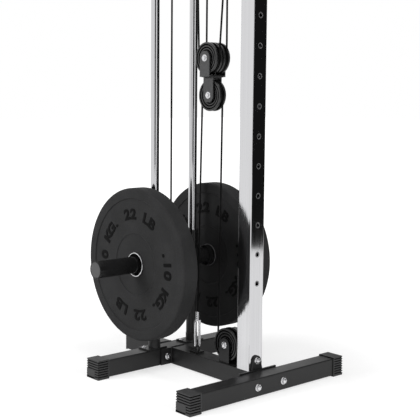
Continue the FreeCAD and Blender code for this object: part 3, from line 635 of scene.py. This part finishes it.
def plate_insert(name, centre):
    """The steel ring that lines the bore and stands a little out of the rubber on the outer side."""
    face, lip = PLATE_HALF - 1.2, INSERT_R - 3
    half = [(face - 9, BORE_R), (face - 7, BORE_R), (face - 6.4, BORE_R + 0.6), (face - 5, lip - 1),
            (face - 0.8, lip), (face, lip + 0.8), (face, INSERT_R - 0.8), (face - 0.8, INSERT_R),
            (face - 5, INSERT_R)]
    inner = [(9 - face, INSERT_R - 3), (9 - face, BORE_R)]
    ring = lathe(name, half + inner + half[:1], centre, outward(centre), degrees=40)
    # The inner cone of the ring, down into the bore, takes the near-black finish: painted shade for the dark
    # inside of the bore. Only the flat face stays bright.
    second_finish(ring, PAINTED_SHADE, lambda f: off_axis(f, centre) < lip - 0.2)
    return ring


def plate_ring(name, centre):
    """The inner end of the bore's lining, seen as a thin ring beside the collar."""
    outline = [(-21.2, 31.8), (-22.4, 32.2), (-22.7, 32.9), (-22.4, 33.6), (-21.2, 34.0), (-21.2, 31.8)]
    return lathe(name, outline, centre, outward(centre), 72, 60)


def letter_mesh(letter):
    deselect()
    bpy.ops.object.text_add()
    mark = bpy.context.object
    mark.data.body = letter
    mark.data.size = MARK_SIZE * MM
    mark.data.align_x = mark.data.align_y = "CENTER"
    mark.data.extrude = MARK_RISE * MM
    mark.data.bevel_depth = 0.4 * MM
    mark.data.offset = 1.3 * MM
    mark.data.resolution_u = 4
    bpy.ops.object.convert(target="MESH")
    return mark


def plate_marks(name, centre):
    """Raised weight marks round both faces, every letter standing on the circle."""
    lift = Matrix.Translation((0, 0, MARK_R * MM)) @ Matrix.Rotation(math.pi / 2, 4, "X")
    lift = lift @ Matrix.Diagonal((MARK_STRETCH, 1, 1, 1))
    seat = Matrix.Translation((0, -(PLATE_HALF - WEB_DROP) * MM, 0))
    letters = []
    for facing in (0, math.pi):
        for text, start in MARKS:
            for i, letter in enumerate(text):
                if letter == " ":
                    continue
                lean = Matrix.Rotation(math.radians(start + (i - (len(text) - 1) / 2) * MARK_STEP), 4, "Y")
                mark = letter_mesh(letter)
                mark.data.transform(Matrix.Translation(centre) @ Matrix.Rotation(facing, 4, "Z") @ seat
                                    @ lean @ lift)
                letters.append(mark)
    return smooth(joined(name, letters), 30)


def add_plates():
    for which in ("near_plate", "far_plate"):
        name, centre = "left_" + which, middle("left_" + which)
        pair(plate_body(name + "_rubber", centre), which, "plate", PLATE, [which])
        pair(plate_insert(name + "_insert", centre), which, "bolt", ZINC)
        pair(plate_ring(name + "_ring", centre), which, "bolt", BARE_EDGE)
        pair(plate_marks(name + "_marks", centre), which, "plate", MARK)


# ---- pulleys, in millimetres
GROOVE_DEPTH = 5.5
LOW_GROOVE_DEPTH = 6.0
PULLEY_BORE = 5.05
CABLE_R = 2.5
SLACK = 0.3
COAT_R = 2.75                # the coated cable as drawn, which just fills its grooves
BANDS = ((0.885, 0.0), (0.87, 5.0), (0.81, 5.0), (0.795, 0.8), (0.715, 0.8), (0.7, 5.2), (0.64, 5.2),
         (0.625, 1.4), (0.55, 1.4), (0.535, 5.4), (0.475, 5.4), (0.46, 1.8), (0.38, 1.8))


def pulley_wheel(name, node, depth):
    """A moulded pulley with a cable groove and stepped rings pressed into both faces."""
    centre, half, radius = middle(node), half_size(node).y / MM, half_size(node).z / MM
    face, floor = half - 1, CABLE_R + SLACK
    ring = [(half, PULLEY_BORE), (half, 9.5), (half - 0.6, 10.2), (face - 3.4, 11.5)]
    ring += [(face - inset, share * radius) for share, inset in reversed(BANDS)]
    ring += arc_points((face - 1.6, radius - 1.6), 1.6, 0, 90, 4)
    ring += [(floor + 3.4, radius), (floor + 2.4, radius - 0.6), (floor + 0.3, radius - depth + 0.9),
             (floor - 1.2, radius - depth)]
    whole = ring + [(-x, r) for x, r in reversed(ring)] + ring[:1]
    wheel = lathe(name, whole, centre, degrees=24)

    # Faces deep in the cable groove and in the recessed bands between the rings take the near-black finish:
    # painted shade in the recesses.
    def painted_shade_face(f):
        out, side = off_axis(f, centre), abs(f.calc_center_median().y - centre.y) / MM
        if out > 0.9 * radius:
            return side < floor + 2.8 and out < radius - 0.4
        return side < face - 2.1
    second_finish(wheel, PAINTED_SHADE, painted_shade_face)
    return wheel


def add_pulleys():
    for node in ("block_pulley_near", "block_pulley_far", "block_pulley_low", "top_pulley_front",
                 "top_pulley_middle", "top_pulley_rear", "swivel_pulley", "low_pulley"):
        depth = LOW_GROOVE_DEPTH if node == "low_pulley" else GROOVE_DEPTH
        pair(pulley_wheel("left_" + node + "_wheel", "left_" + node, depth), node, "pulley", None, [node])


# ---- base
CAP_LENGTH = 41.0 * MM
SHOE_WALL = 3.0 * MM
CAP_RIBS = 8
CAP_LIP = 4.0 * MM
RIB_DEPTH = 2.4 * MM
RIB_GAP = 3.0 * MM
PAD_TOP = 27.0 * MM


def ribbed_shoe(low, high, out):
    """A rubber shoe over a tube end: a dark core whose near black is painted shade in the rib gaps, and over
    it a lip, a stack of ribs and a smooth pad.
    """
    inner, outer = (low.y, high.y) if out > 0 else (high.y, low.y)

    def slab(x0, x1, y0, y1, z0, z1):
        return block("slab", (x0, min(y0, y1), z0), (x1, max(y0, y1), z1))
    depth = RIB_DEPTH
    pitch = (high.z - low.z) / CAP_RIBS
    core = slab(low.x + depth, high.x - depth, inner, outer - out * depth, low.z + depth, high.z - 0.6 * MM)
    lip_end = inner + out * CAP_LIP
    lip = slab(low.x, high.x, inner, lip_end, low.z, high.z)
    bevel_modifier(lip, 1.0 * MM)
    ribs = [lip]
    for i in range(CAP_RIBS):
        z = low.z + pitch * i
        shrink = 0.9 * MM * i / CAP_RIBS
        rib = slab(low.x + shrink, high.x - shrink, lip_end - out * 1 * MM, outer - out * shrink,
                   z + (RIB_GAP if i else 0), z + pitch)
        bevel_modifier(rib, 0.9 * MM)
        ribs.append(rib)
    pad_end = low.x + 0.7 * (high.x - low.x)
    pad = slab(low.x + 1 * MM, pad_end, outer - out * depth, outer, low.z + 1 * MM, low.z + PAD_TOP)
    bevel_modifier(pad, 1.4 * MM)
    return core, joined("ribs", ribs + [pad])


def add_shoes():
    """Four shoes and the stub's plug for the left tower."""
    low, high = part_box("end_caps")
    cores, shoes = [], []
    for node in ("front_crossbars", "rear_crossbars"):
        bar_low, bar_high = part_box(node)
        x0, x1 = bar_low.x - SHOE_WALL, bar_low.x + TUBE + SHOE_WALL
        for out in (-1, 1):
            y0, y1 = (low.y, low.y + CAP_LENGTH) if out < 0 else (high.y - CAP_LENGTH, high.y)
            core, ribs = ribbed_shoe(Vector((x0, y0, 0)), Vector((x1, y1, bar_high.z + SHOE_WALL)), out)
            cores.append(core)
            shoes.append(ribs)
    stub_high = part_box("rear_stubs")[1]
    plug = block("plug", (low.x, -TUBE / 2, 0), (low.x + SHOE_WALL, TUBE / 2, stub_high.z))
    bevel_modifier(plug, 1.2 * MM, 3)
    shared(smooth(joined("left_shoes", shoes + [plug]), 40), "cap", None, ["end_caps"])
    # The cores take the near-black finish: painted shade that shows as dark lines in the gaps between the
    # ribs.
    shared(joined("left_shoe_cores", cores), "cap", PAINTED_SHADE)


def weld_bead(name, start, end, radius=1.8 * MM):
    """A rippled fillet of weld: a row of short overlapping rings."""
    start, end = Vector(start), Vector(end)
    run = end - start
    way = run.normalized()
    count = max(3, int(run.length / (2.2 * MM)))
    bead = cylinder(name, start, end, radius, 12)
    edit(bead)
    for i in range(1, count):
        select_everything()
        bpy.ops.mesh.bisect(plane_co=start + run * (i / count), plane_no=way)
    choose(bead, "vert", lambda v: round((v.co - start).dot(way) / run.length * count) % 2)
    bpy.ops.transform.shrink_fatten(value=0.35 * MM)
    leave()
    return smooth(bead, 60)


def add_base():
    for node, name, axis in (("front_crossbars", "front_crossbar_tubes", Y),
                             ("rear_crossbars", "rear_crossbar_tubes", Y),
                             ("base_spines", "spine_tubes", X), ("rear_stubs", "stub_tubes", X)):
        round_tube(node, name, axis)
    add_shoes()
    spine_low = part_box("base_spines")[0]
    rear_low, rear_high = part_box("rear_crossbars")
    half, flange = TUBE / 2, 5.5 * MM
    top, bottom = rear_high.z + 0.2 * MM, spine_low.z + 2 * MM
    beads = []
    for x in (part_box("front_crossbars")[0].x - flange, spine_low.x + flange, rear_low.x - flange):
        beads.append(weld_bead("bead", (x, -half + 2 * MM, top), (x, half - 2 * MM, top)))
        for side in (-1, 1):
            y = side * (half + 0.2 * MM)
            beads.append(weld_bead("bead", (x, y, bottom), (x, y, top - 2 * MM)))
    shared(joined("left_weld_beads", beads), "frame", PAINT)


# ---- upright and rods
ROD_R = 12.5 * MM
HOLE_FIRST_Z = 300.0
HOLE_PITCH = 81.5
HOLE_COUNT = 20
STRAP_T = 6 * MM
STRAP_TOP_R = 15 * MM
STRAP_FOOT = 20 * MM           # half its width on the flange
FOOT_BOLT_Z = 81.8


def add_upright():
    round_tube("uprights", "upright_tubes", Z, "chrome", 0.3 * MM, 0.8 * MM)
    add_hole_rims()
    low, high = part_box("guide_rods")
    x = low.x + ROD_R
    rods = [solid_rod("rod", (x, y, low.z), (x, y, high.z), ROD_R, 1.2 * MM, 64)
            for y in (low.y + ROD_R, high.y - ROD_R)]
    shared(joined("left_guide_rods", rods), "chrome", ROD_CHROME, ["guide_rods"])
    add_foot_strap()
    refine("rod_feet", "rod_foot_flanges", 0.8 * MM)
    refine("rod_stop_tubes", "stop_tubes", 0.8 * MM)
    refine("rubber_bumpers", "bumper_rings", 1.5 * MM, 3, "bumper")


def upright_face():
    """Where the front of the left upright is."""
    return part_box("uprights")[0].x + TUBE


def add_hole_rims():
    """The raised bead round each adjustment hole."""
    outline = [(-0.4, 5.9), (0, 6.1), (0.14, 6.5), (0.16, 7.2), (0.1, 7.9), (0, 8.2), (-0.4, 8.2),
               (-0.4, 5.9)]
    first = lathe("rim", outline, (upright_face(), 0, HOLE_FIRST_Z * MM), X, 40)
    smooth(first, 60, False)
    level = X.to_track_quat("X", "Z")
    rims = [first] + [stamp(first, "rim", Vector((0, 0, i * HOLE_PITCH * MM)), level)
                      for i in range(1, HOLE_COUNT)]
    shared(joined("left_hole_rims", rims), "chrome", BARE_EDGE)


def add_foot_strap():
    """The strap that stands up from the front flange and holds the foot of the upright."""
    low, back, bolt_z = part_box("upright_foot_brackets")[0], upright_face(), FOOT_BOLT_Z * MM
    strap = cylinder("left_foot_strap", (back, 0, bolt_z), (back + STRAP_T, 0, bolt_z), STRAP_TOP_R, 64)
    for vertex in strap.data.vertices:
        if vertex.co.z < bolt_z - 0.1 * MM:
            vertex.co.z = low.z
            wide = vertex.co.y / STRAP_TOP_R
            vertex.co.y = math.copysign(STRAP_FOOT, wide) if abs(wide) > 0.9 else STRAP_FOOT * wide
    shared(soften(strap, 1.2 * MM), "frame", None, ["upright_foot_brackets"])


# ---- bolts
FRONT, BACK = X, -X            # of the left tower


def bolt_head(rim, tall):
    """A domed washer with a chamfered hexagon head inside it, standing on the floor at the origin."""
    origin = Vector((0, 0, 0))
    radius = rim - 3.4
    outline = [(0, 0.2), (0, rim), (0.5, rim), (1.5, rim - 0.8), (2.1, rim - 1.9), (2.0, rim - 2.6),
               (1.2, rim - 3.1), (1.2, 0.2), (0, 0.2)]
    washer = lathe("washer", outline, origin, Z, 40, 60)
    bpy.ops.mesh.primitive_cylinder_add(vertices=6, radius=radius * MM, depth=(tall - 1.2) * MM,
                                        location=(0, 0, (tall + 1.2) / 2 * MM))
    head = soften(placed("hexagon"), 0.9 * MM)
    outline = [(tall - 0.3, 0.1), (tall - 0.3, radius * 0.8), (tall + 0.6, radius * 0.66),
               (tall + 1.2, radius * 0.4), (tall + 1.4, 0.1)]
    dome = lathe("dome", outline, origin, Z, 32, 60)
    return joined("head", [washer, head, dome])


def heads(name, template, spots):
    """A bolt head at each of (point, way out of the metal)."""
    return [stamp(template, name, place, Vector(out).to_track_quat("Z", "X")) for place, out in spots]


def axle_pieces(template, node, reach):
    """A bolt right through a wheel and two legs, seen as a shank with a head at each end."""
    back, up = in_tower(node)
    ends = [spot(-reach, back, up), spot(reach, back, up)]
    return [solid_rod("shank", *ends, 4.9 * MM, 0.5 * MM, 24)] + heads("axle_head", template,
                                                                    [(ends[0], -Y), (ends[1], Y)])


# where the frame bolts go, in millimetres
BAR_Z = 28.4
FRONT_BAR_BACK = 55.8
REAR_BAR = (395.0, 455.8)
FLANGE_BOLTS, STUB_BOLTS = 50, 39.5
ROD_FEET = (75, 432.3, 58.8)   # across, back and up
ROD_FOOT_BOLTS = 28
WHEEL_HALF, LEG = 13.4, 30     # half a wheel with its gap, and the middle to a side plate
LOW_AXLE, TOP_AXLE, NEAR_AXLE, BLOCK_AXLE = 18, 36, 32, 17.4     # half of each axle


def add_bolts():
    large, medium, small = bolt_head(10.8, 6.2), bolt_head(10.2, 5.4), bolt_head(6.8, 4.0)
    pieces = []
    for x in (-FLANGE_BOLTS, FLANGE_BOLTS):
        pieces += heads("bolt", large, [(spot(x, 0, BAR_Z), FRONT), (spot(x, FRONT_BAR_BACK, BAR_Z), BACK)])
    for x in (-STUB_BOLTS, STUB_BOLTS):
        pieces += heads("bolt", medium, [(spot(x, REAR_BAR[0], BAR_Z), FRONT),
                                         (spot(x, REAR_BAR[1], BAR_Z), BACK)])
    pieces += heads("bolt", large, [(spot(0, UPRIGHT_Y - STRAP_T / MM, FOOT_BOLT_Z), FRONT)])
    across, back, up = ROD_FEET
    pieces += heads("bolt", small, [(spot(side * across + x, back, up), Z) for side in (-1, 1)
                                    for x in (-ROD_FOOT_BOLTS, ROD_FOOT_BOLTS)])
    shared(joined("left_frame_bolts", pieces), "bolt", ZINC, ["frame_bolts"])

    axles = axle_pieces(medium, "left_low_pulley", LOW_AXLE)
    for node in ("left_top_pulley_front", "left_top_pulley_middle", "left_top_pulley_rear"):
        axles += axle_pieces(medium, node, TOP_AXLE)
        (back, up), across = in_tower(node), middle(node).y / MM
        side = -1 if across > 0 else 1
        wheel, leg = spot(across + side * WHEEL_HALF, back, up), spot(side * LEG, back, up)
        axles.append(solid_rod("spacer", wheel, leg, 8 * MM, 0.5 * MM, 32))
    shared(joined("left_axle_bolts", axles), "bolt", ZINC, ["pulley_axle_bolts"])
    block_axles = axle_pieces(medium, "left_block_pulley_near", NEAR_AXLE)
    block_axles += axle_pieces(medium, "left_block_pulley_low", BLOCK_AXLE)
    pair(joined("left_block_axles", block_axles), "pulley_block", "bolt", ZINC, ["block_bolts"])
    for template in (large, medium, small):
        bpy.data.objects.remove(template)


# ---- brackets, hook and top
def stadium(name, centre, bend, wire, straight, axis):
    """A closed ring of wire with two straight sides, its long way upright."""
    bpy.ops.mesh.primitive_torus_add(major_radius=bend, minor_radius=wire, major_segments=48,
                                     minor_segments=16, location=(0, 0, 0),
                                     rotation=axis.to_track_quat("Z", "Y").to_euler())
    piece = placed(name)
    edit(piece)
    choose(piece, "vert", lambda v: v.co.z > wire * 0.3)
    bpy.ops.transform.translate(value=(0, 0, straight))
    leave()
    piece.data.transform(Matrix.Translation(Vector(centre) - Vector((0, 0, straight / 2))))
    return smooth(piece, 60)


def carabiner(low_z, high_z, x, y):
    """A snap hook: a steel ring with a gate along one side, its hinge pin and its nose."""
    bend, wire = 8.6 * MM, 3.1 * MM
    straight = high_z - low_z - 2 * (bend + wire)
    mid, side = (low_z + high_z) / 2, y + bend

    def bar(name, low, high, radius, edge):
        return solid_rod(name, (x, side, mid + straight * low), (x, side, mid + straight * high), radius * MM,
                         edge * MM, 24)
    pieces = [stadium("hook_ring", (x, y, mid), bend, wire, straight, X), bar("gate", -0.5, 0.46, 3.5, 0.8)]
    for share in (-0.42, 0.4):
        z = mid + straight * share
        pieces.append(solid_rod("pin", (x - 4.4 * MM, side, z), (x + 4.4 * MM, side, z), 1.3 * MM,
                                0.3 * MM, 16))
    return pieces + [bar("nose", 0.42, 0.62, 4.2, 1.4)]


def crimp(name, x, y, low_z, high_z, radius):
    """A pressed sleeve on a cable end, with three rings squeezed into it."""
    tall = (high_z - low_z) / MM
    shape = [(0, 0.6), (0.04, 0.92), (0.1, 1.0)]
    for share in (0.25, 0.5, 0.75):
        shape += [(share - 0.07, 1.0), (share - 0.03, 0.84), (share + 0.03, 0.84), (share + 0.07, 1.0)]
    shape += [(0.9, 1.0), (0.96, 0.92), (1.0, 0.6)]
    outline = [(along * tall, share * radius) for along, share in shape]
    return lathe(name, outline + [(tall, 0.2), (0, 0.2), outline[0]], (x, y, low_z), Z, 32, 40)


HOOK_TOP = 155.0 * MM
BLOCK_SEAM = 871.0 * MM        # where the block's two forks meet
SEAM_SHADE_SIZE = (17 * MM, 27 * MM)    # the near-black block in the seam between the block's two forks, painted shade there: half its depth and half its width


def add_brackets():
    refine("low_pulley_brackets", "low_pulley_forks", 0.5 * MM)
    # A near-black block fills the seam between the block's two forks: painted shade there.
    mid, (deep, wide) = middle("left_pulley_block"), SEAM_SHADE_SIZE
    lining = block("left_block_lining", (mid.x - deep, -wide, BLOCK_SEAM - 1 * MM),
                   (mid.x + deep, wide, BLOCK_SEAM + 7.4 * MM))
    refine_pair("pulley_block", "block_forks", 0.6 * MM, BRACKET)
    pair(soften(lining, 0.8 * MM), "pulley_block", "frame", PAINTED_SHADE)
    refine("anchor_eyes", "anchor_eye_plates", 0.4 * MM)
    hook_low, hook_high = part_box("snap_hooks")
    x = left_middle_x("snap_hooks")
    pieces = carabiner(hook_low.z, HOOK_TOP, x, 0)
    pieces.append(crimp("ferrule", x, 0, HOOK_TOP - 2 * MM, hook_high.z, 4.9))
    shared(joined("left_snap_hook", pieces), "bolt", ZINC, ["snap_hooks"])


def add_top():
    round_tube("overhead_beam", "beam_tube", X)
    low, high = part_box("overhead_beam")
    wall = 2.6 * MM
    plug = block("left_beam_plug", (low.x + 0.1 * MM, low.y + wall, low.z + wall),
                 (low.x + 12 * MM, high.y - wall, high.z - wall))
    shared(soften(plug, 1.0 * MM), "cap", SHOE)
    refine("top_side_plates", "side_plates", 0.8 * MM)
    refine("beam_saddles", "saddles", 0.6 * MM)
    refine("top_cross_bars", "cross_bars", 0.8 * MM)


# ---- weight carriage
SLEEVES = (395, 325)           # how far back and how high the sleeves are, in millimetres
COLLAR = 117.6                 # the middle of the tower to a collar's outer face


def add_weight_carriage():
    """Two sliders, the bridge and the sleeves, whose ends are closed by a plug a shade lighter."""
    piece = copy_of_node("left_weight_carriage", "left_weight_frame")
    low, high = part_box("left_weight_carriage")
    ends = ((-1, low.y), (1, high.y))
    edit(piece)
    for side, end in ends:
        choose(piece, "face", lambda f: f.normal.y * side > 0.99
               and abs(f.calc_center_median().y - end) < 0.1 * MM)
        bpy.ops.mesh.inset(thickness=2.2 * MM)
        bpy.ops.mesh.extrude_region_move(TRANSFORM_OT_translate={"value": (0, -side * 1.2 * MM, 0)})
    leave()
    pair(soften(piece, 0.9 * MM), "weight_carriage", "frame", GLOSS_PAINT, ["weight_carriage"])
    face = [(-1.3, 0.2), (-1.3, 22.4), (-0.7, 22.4), (-0.4, 21.6), (-0.3, 8), (-0.2, 0.2)]
    collar = [(0, 25), (0, 29.6), (-1.2, 31.4), (-4, 31.4), (-4.6, 30.6), (-8, 30.6), (-8.6, 31.4),
              (-12.6, 31.4), (-13.8, 29.6), (-13.8, 25), (0, 25)]
    caps, rings = [], []
    for side, end in ends:
        centre = spot(0, *SLEEVES)
        caps.append(lathe("sleeve_plug", face, (centre.x, end, centre.z), Y * side, 48, 30))
        rings.append(lathe("collar", collar, spot(side * COLLAR, *SLEEVES), Y * side, 64, 30))
    pair(joined("left_sleeve_plugs", caps), "weight_carriage", "cap", PLUG)
    pair(joined("left_collars", rings), "weight_carriage", "frame", GLOSS_PAINT)


# ---- height carriage and handle
BALL_R = 11.0
GRIP_HALF = 62.0
WEB_WIDE, WEB_THICK = 16 * MM, 3 * MM


def add_height_carriage():
    refine_pair("height_carriage", "height_sleeve", 1.0 * MM)
    refine_pair("swivel_head", "swivel_cheeks", 0.5 * MM)
    low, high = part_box("left_pop_pin")
    _, y, z = middle("left_pop_pin")
    reach = half_size("left_pop_pin").z / MM
    outline = [(0, 0.2), (0, 0.62 * reach), (-0.6, 0.82 * reach), (-3, reach), (-8, reach),
               (-10, 0.9 * reach), (-15, 0.62 * reach), (-20, 0.6 * reach), (-20, 0.2)]
    knob = lathe("left_pin_knob", outline, (high.x, y, z), X, 12)
    bevel_modifier(knob, 0.8 * MM, 2, 20)
    pair(smooth(knob, 30), "pop_pin", "knob", None, ["pop_pin"])
    stem = solid_rod("left_pin_stem", (high.x - 19 * MM, y, z), (low.x, y, z), 5.1 * MM, 0.8 * MM, 32)
    pair(stem, "pop_pin", "bolt", ZINC)


def web_band(start, end):
    """One leg of the handle's webbing, its width along the beam."""
    run = end - start
    bpy.ops.mesh.primitive_cube_add(size=1, location=(start + end) / 2,
                                    scale=(WEB_WIDE, WEB_THICK, run.length))
    band = bpy.context.object
    way = run.normalized()
    band.rotation_euler = Matrix((X, way.cross(X), way)).transposed().to_euler()
    return soften(placed("band"), 1.0 * MM)


def add_handle():
    low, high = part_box("left_handle")
    x, y, _ = middle("left_handle")
    top = high.z
    ball = [(-BALL_R + BALL_R * math.cos(math.radians(a)), BALL_R * math.sin(math.radians(a)))
            for a in range(24, 160, 8)]
    outline = [(-0.3, 2.6), (0, 3.4), *ball, (-22, 3), (-22, 0.3), (-0.3, 0.3), (-0.3, 2.6)]
    stop = lathe("left_stop_ball", outline, (x, y, top), Z, 48, 40)
    pair(stop, "handle", "knob", KNOB, ["handle"])
    link_z = top - 50 * MM
    pieces = [crimp("handle_crimp", x, y, top - 27 * MM, top - (2 * BALL_R - 1) * MM, 4)]
    pieces += carabiner(link_z - 6 * MM, top - 25 * MM, x, y)
    pair(joined("left_handle_hook", pieces), "handle", "bolt", ZINC)
    axis_z = low.z + 18 * MM
    half = GRIP_HALF
    grip = [(-half, 8), (-half, 13.6), (-half + 2, 15), (-half / 2, 15), (0, 15), (half / 2, 15),
            (half - 2, 15), (half, 13.6), (half, 8), (-half, 8)]
    pair(lathe("left_grip", grip, (x, y, axis_z), Y, 48, 40), "handle", "grip", GRIP)
    disc = [(0, 0.3), (0, 17), (0.8, 18), (3.2, 18), (4, 17), (4, 9), (3, 8), (3, 0.3), (0, 0.3)]
    discs, bands = [], []
    for side in (-1, 1):
        centre = (x, y + side * half * MM, axis_z)
        discs.append(lathe("disc", disc, centre, Y * side, 48, 30))
        bands.append(web_band(Vector((x, y + side * 5 * MM, link_z - 4 * MM)),
                              Vector((x, y + side * (half - 3) * MM, axis_z + 12 * MM))))
    pair(joined("left_grip_discs", discs), "handle", "knob", KNOB)
    pair(joined("left_webbing", bands), "handle", "grip", WEBBING)


# ---- cables
def in_plane(back, up, plane):
    return Vector((-back, plane, up))


def tangent(first, r1, side1, second, r2, side2):
    """The straight run between two wheels: its contact points. Side +1 is on the left of the way there."""
    back, rise = second[0] - first[0], second[1] - first[1]
    angle = math.atan2(rise, back) + math.asin((side2 * r2 - side1 * r1) / math.hypot(back, rise))
    left = (-math.sin(angle), math.cos(angle))
    return ((first[0] + side1 * r1 * left[0], first[1] + side1 * r1 * left[1]),
            (second[0] + side2 * r2 * left[0], second[1] + side2 * r2 * left[1]))


def cable_run(name, plane, start, end):
    """A straight stretch of cable between two points of its plane, cut thirty times along its length."""
    a, b = in_plane(*start, plane), in_plane(*end, plane)
    length = (b - a).length
    piece = cylinder(name, a, b, COAT_R * MM, 16)
    edit(piece)
    choose(piece, "edge", lambda e: (e.verts[0].co - e.verts[1].co).length > length * 0.9)
    bpy.ops.mesh.subdivide(number_cuts=30)
    leave()
    return smooth(piece, 60)


def cable_wrap(name, plane, centre, start, end, over):
    """The cable bent round a wheel, from one contact point to the other, over its top or under it."""
    first = math.atan2(start[1] - centre[1], start[0] - centre[0])
    sweep = math.atan2(end[1] - centre[1], end[0] - centre[0]) - first
    crown = math.pi / 2 if over else -math.pi / 2
    for turn in (sweep, sweep + 2 * math.pi, sweep - 2 * math.pi):
        if abs(turn) < 1.5 * math.pi and math.cos(first + turn / 2 - crown) > 0:
            sweep = turn
    hub, rim = in_plane(*centre, plane), in_plane(*start, plane)
    way = (rim - hub).cross(Y).normalized()
    bpy.ops.mesh.primitive_circle_add(vertices=16, radius=COAT_R * MM, location=rim,
                                      rotation=way.to_track_quat("Z", "Y").to_euler())
    piece = placed(name)
    edit(piece)
    select_everything()
    bpy.ops.mesh.spin(steps=28, angle=-sweep, center=hub, axis=Y)
    select_everything()
    bpy.ops.mesh.fill_holes(sides=0)
    select_everything()
    bpy.ops.mesh.normals_make_consistent(inside=False)
    leave()
    return smooth(piece, 60)


def add_wrap(name, body, plane, centre, start, end, over):
    pair(cable_wrap("left_" + name, plane, centre, start, end, over), body, "cable", CABLE)


def add_run(name, plane, ends, nodes=()):
    """A straight run of cable on both towers, its place baked into its mesh; it is attached to no body."""
    left = cable_run("left_" + name, plane, *ends)
    for side, one, turn in (("left_", left, 1), ("right_", twin_of(left, "right_" + name), -1)):
        dress(one, CABLE)
        if nodes:
            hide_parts(*[side + n for n in nodes])
        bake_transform(one)


def add_lifting_cable(pitch, at, plane):
    """Weight carriage, rear top wheel, block, front top wheel, then down to the handle."""
    block_at, front_at, rear_at = at["block_pulley_near"], at["top_pulley_front"], at["top_pulley_rear"]
    front = tangent(block_at, pitch, 1, front_at, pitch, -1)
    rear = tangent(block_at, pitch, -1, rear_at, pitch, 1)
    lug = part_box("left_weight_carriage")[1].z
    weight_end, weight_top = (rear_at[0] + pitch, lug - 1 * MM), (rear_at[0] + pitch, rear_at[1])
    add_run("lifting_run_weight", plane, (weight_end, weight_top), nodes=["lifting_cable"])
    add_wrap("lifting_wrap_rear", "frame", plane, rear_at, weight_top, rear[1], True)
    add_run("lifting_run_rear", plane, rear)
    add_wrap("lifting_wrap_block", "pulley_block", plane, block_at, rear[0], front[0], False)
    add_run("lifting_run_front", plane, front)
    drop_top = (front_at[0] - pitch, front_at[1])
    add_wrap("lifting_wrap_front", "frame", plane, front_at, front[1], drop_top, True)
    drop_end = (drop_top[0], middle("left_swivel_head").z)
    add_run("lifting_run_drop", plane, (drop_end, drop_top))
    handle_top = (drop_top[0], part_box("left_handle")[1].z)
    add_run("lifting_run_handle", plane, (handle_top, drop_end))


def add_upper_cable(pitch, at, plane):
    """Fixed end, block, middle top wheel, back of the height carriage."""
    block_at, top_at = at["block_pulley_far"], at["top_pulley_middle"]
    front = tangent(block_at, pitch, 1, top_at, pitch, -1)
    fixed_end = (block_at[0] + pitch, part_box("top_cross_bars")[1].z - 14 * MM)
    block_end = (block_at[0] + pitch, block_at[1])
    add_run("upper_run_fixed", plane, (block_end, fixed_end), nodes=["upper_cable"])
    add_wrap("upper_wrap_block", "pulley_block", plane, block_at, block_end, front[0], False)
    add_run("upper_run_front", plane, front)
    back_top = (top_at[0] - pitch, top_at[1])
    add_wrap("upper_wrap_top", "frame", plane, top_at, front[1], back_top, True)
    back_end = (back_top[0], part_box("left_height_carriage")[1].z - 1 * MM)
    add_run("upper_run_carriage", plane, (back_end, back_top))


def add_lower_cable(pitch, low_pitch, at):
    """Snap hook, block, low wheel, back of the height carriage."""
    block_at, low_at = at["block_pulley_low"], at["low_pulley"]
    hook = (-left_middle_x("snap_hooks"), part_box("snap_hooks")[1].z - 1 * MM)
    rear = tangent(hook, 0, -1, block_at, pitch, -1)
    front = tangent(low_at, low_pitch, -1, block_at, pitch, 1)
    add_run("lower_run_hook", 0, (hook, rear[1]), ["lower_cable"])
    add_wrap("lower_wrap_block", "pulley_block", 0, block_at, rear[1], front[1], True)
    add_run("lower_run_front", 0, front)
    rise_low = (low_at[0] - low_pitch, low_at[1])
    add_wrap("lower_wrap_low", "frame", 0, low_at, front[0], rise_low, False)
    rise_end = (rise_low[0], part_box("left_height_carriage")[0].z + 1 * MM)
    add_run("lower_run_carriage", 0, (rise_low, rise_end))


def add_cables():
    pitch = half_size("left_block_pulley_near").z - (GROOVE_DEPTH - CABLE_R - SLACK) * MM
    low_pitch = half_size("left_low_pulley").z - (LOW_GROOVE_DEPTH - CABLE_R - SLACK) * MM
    hubs = {n: middle("left_" + n) for n in ("block_pulley_near", "block_pulley_far", "block_pulley_low",
                                             "low_pulley", "top_pulley_front", "top_pulley_middle",
                                             "top_pulley_rear")}
    at = {n: (-hub.x, hub.z) for n, hub in hubs.items()}
    add_lifting_cable(pitch, at, hubs["block_pulley_near"].y)
    add_upper_cable(pitch, at, hubs["block_pulley_far"].y)
    add_lower_cable(pitch, low_pitch, at)


# ---- the whole
add_plates()
add_pulleys()
add_base()
add_upright()
add_bolts()
add_brackets()
add_top()
add_weight_carriage()
add_height_carriage()
add_handle()
add_cables()
add_camera()
add_world(0.12, 0.85)
add_floor(1.25, 0.85)
add_card("card_right_rear", (1.47, 0.82), (-0.38, 2.62), 0.02, 3.2, 0.008)
add_card("card_rear", (-0.38, 2.62), (-3.4, 3.1), 0.02, 3.4, 0.03)
add_card("card_camera", (0.71, -3.0), (2.07, -1.4), 0.35, 2.8, 0.05)
LEFT_TOWER = Vector((-1.2, 0, 0.5))
add_lamp("key", (-2.6, -3.4, 1.9), LEFT_TOWER, (1.6, 1.2), 120)
add_lamp("front", (2.3, 0.2, 1.9), LEFT_TOWER, (1.6, 1.6), 75)
add_lamp("top", (-0.5, -0.6, 4.2), (-0.5, 0, 0), (4.0, 2.0), 80)
add_lamp("right", (3.0, 2.4, 3.0), (0.8, 0, 0.8), (2.4, 2.4), 22)

bpy.context.scene.view_settings.view_transform = "Standard"
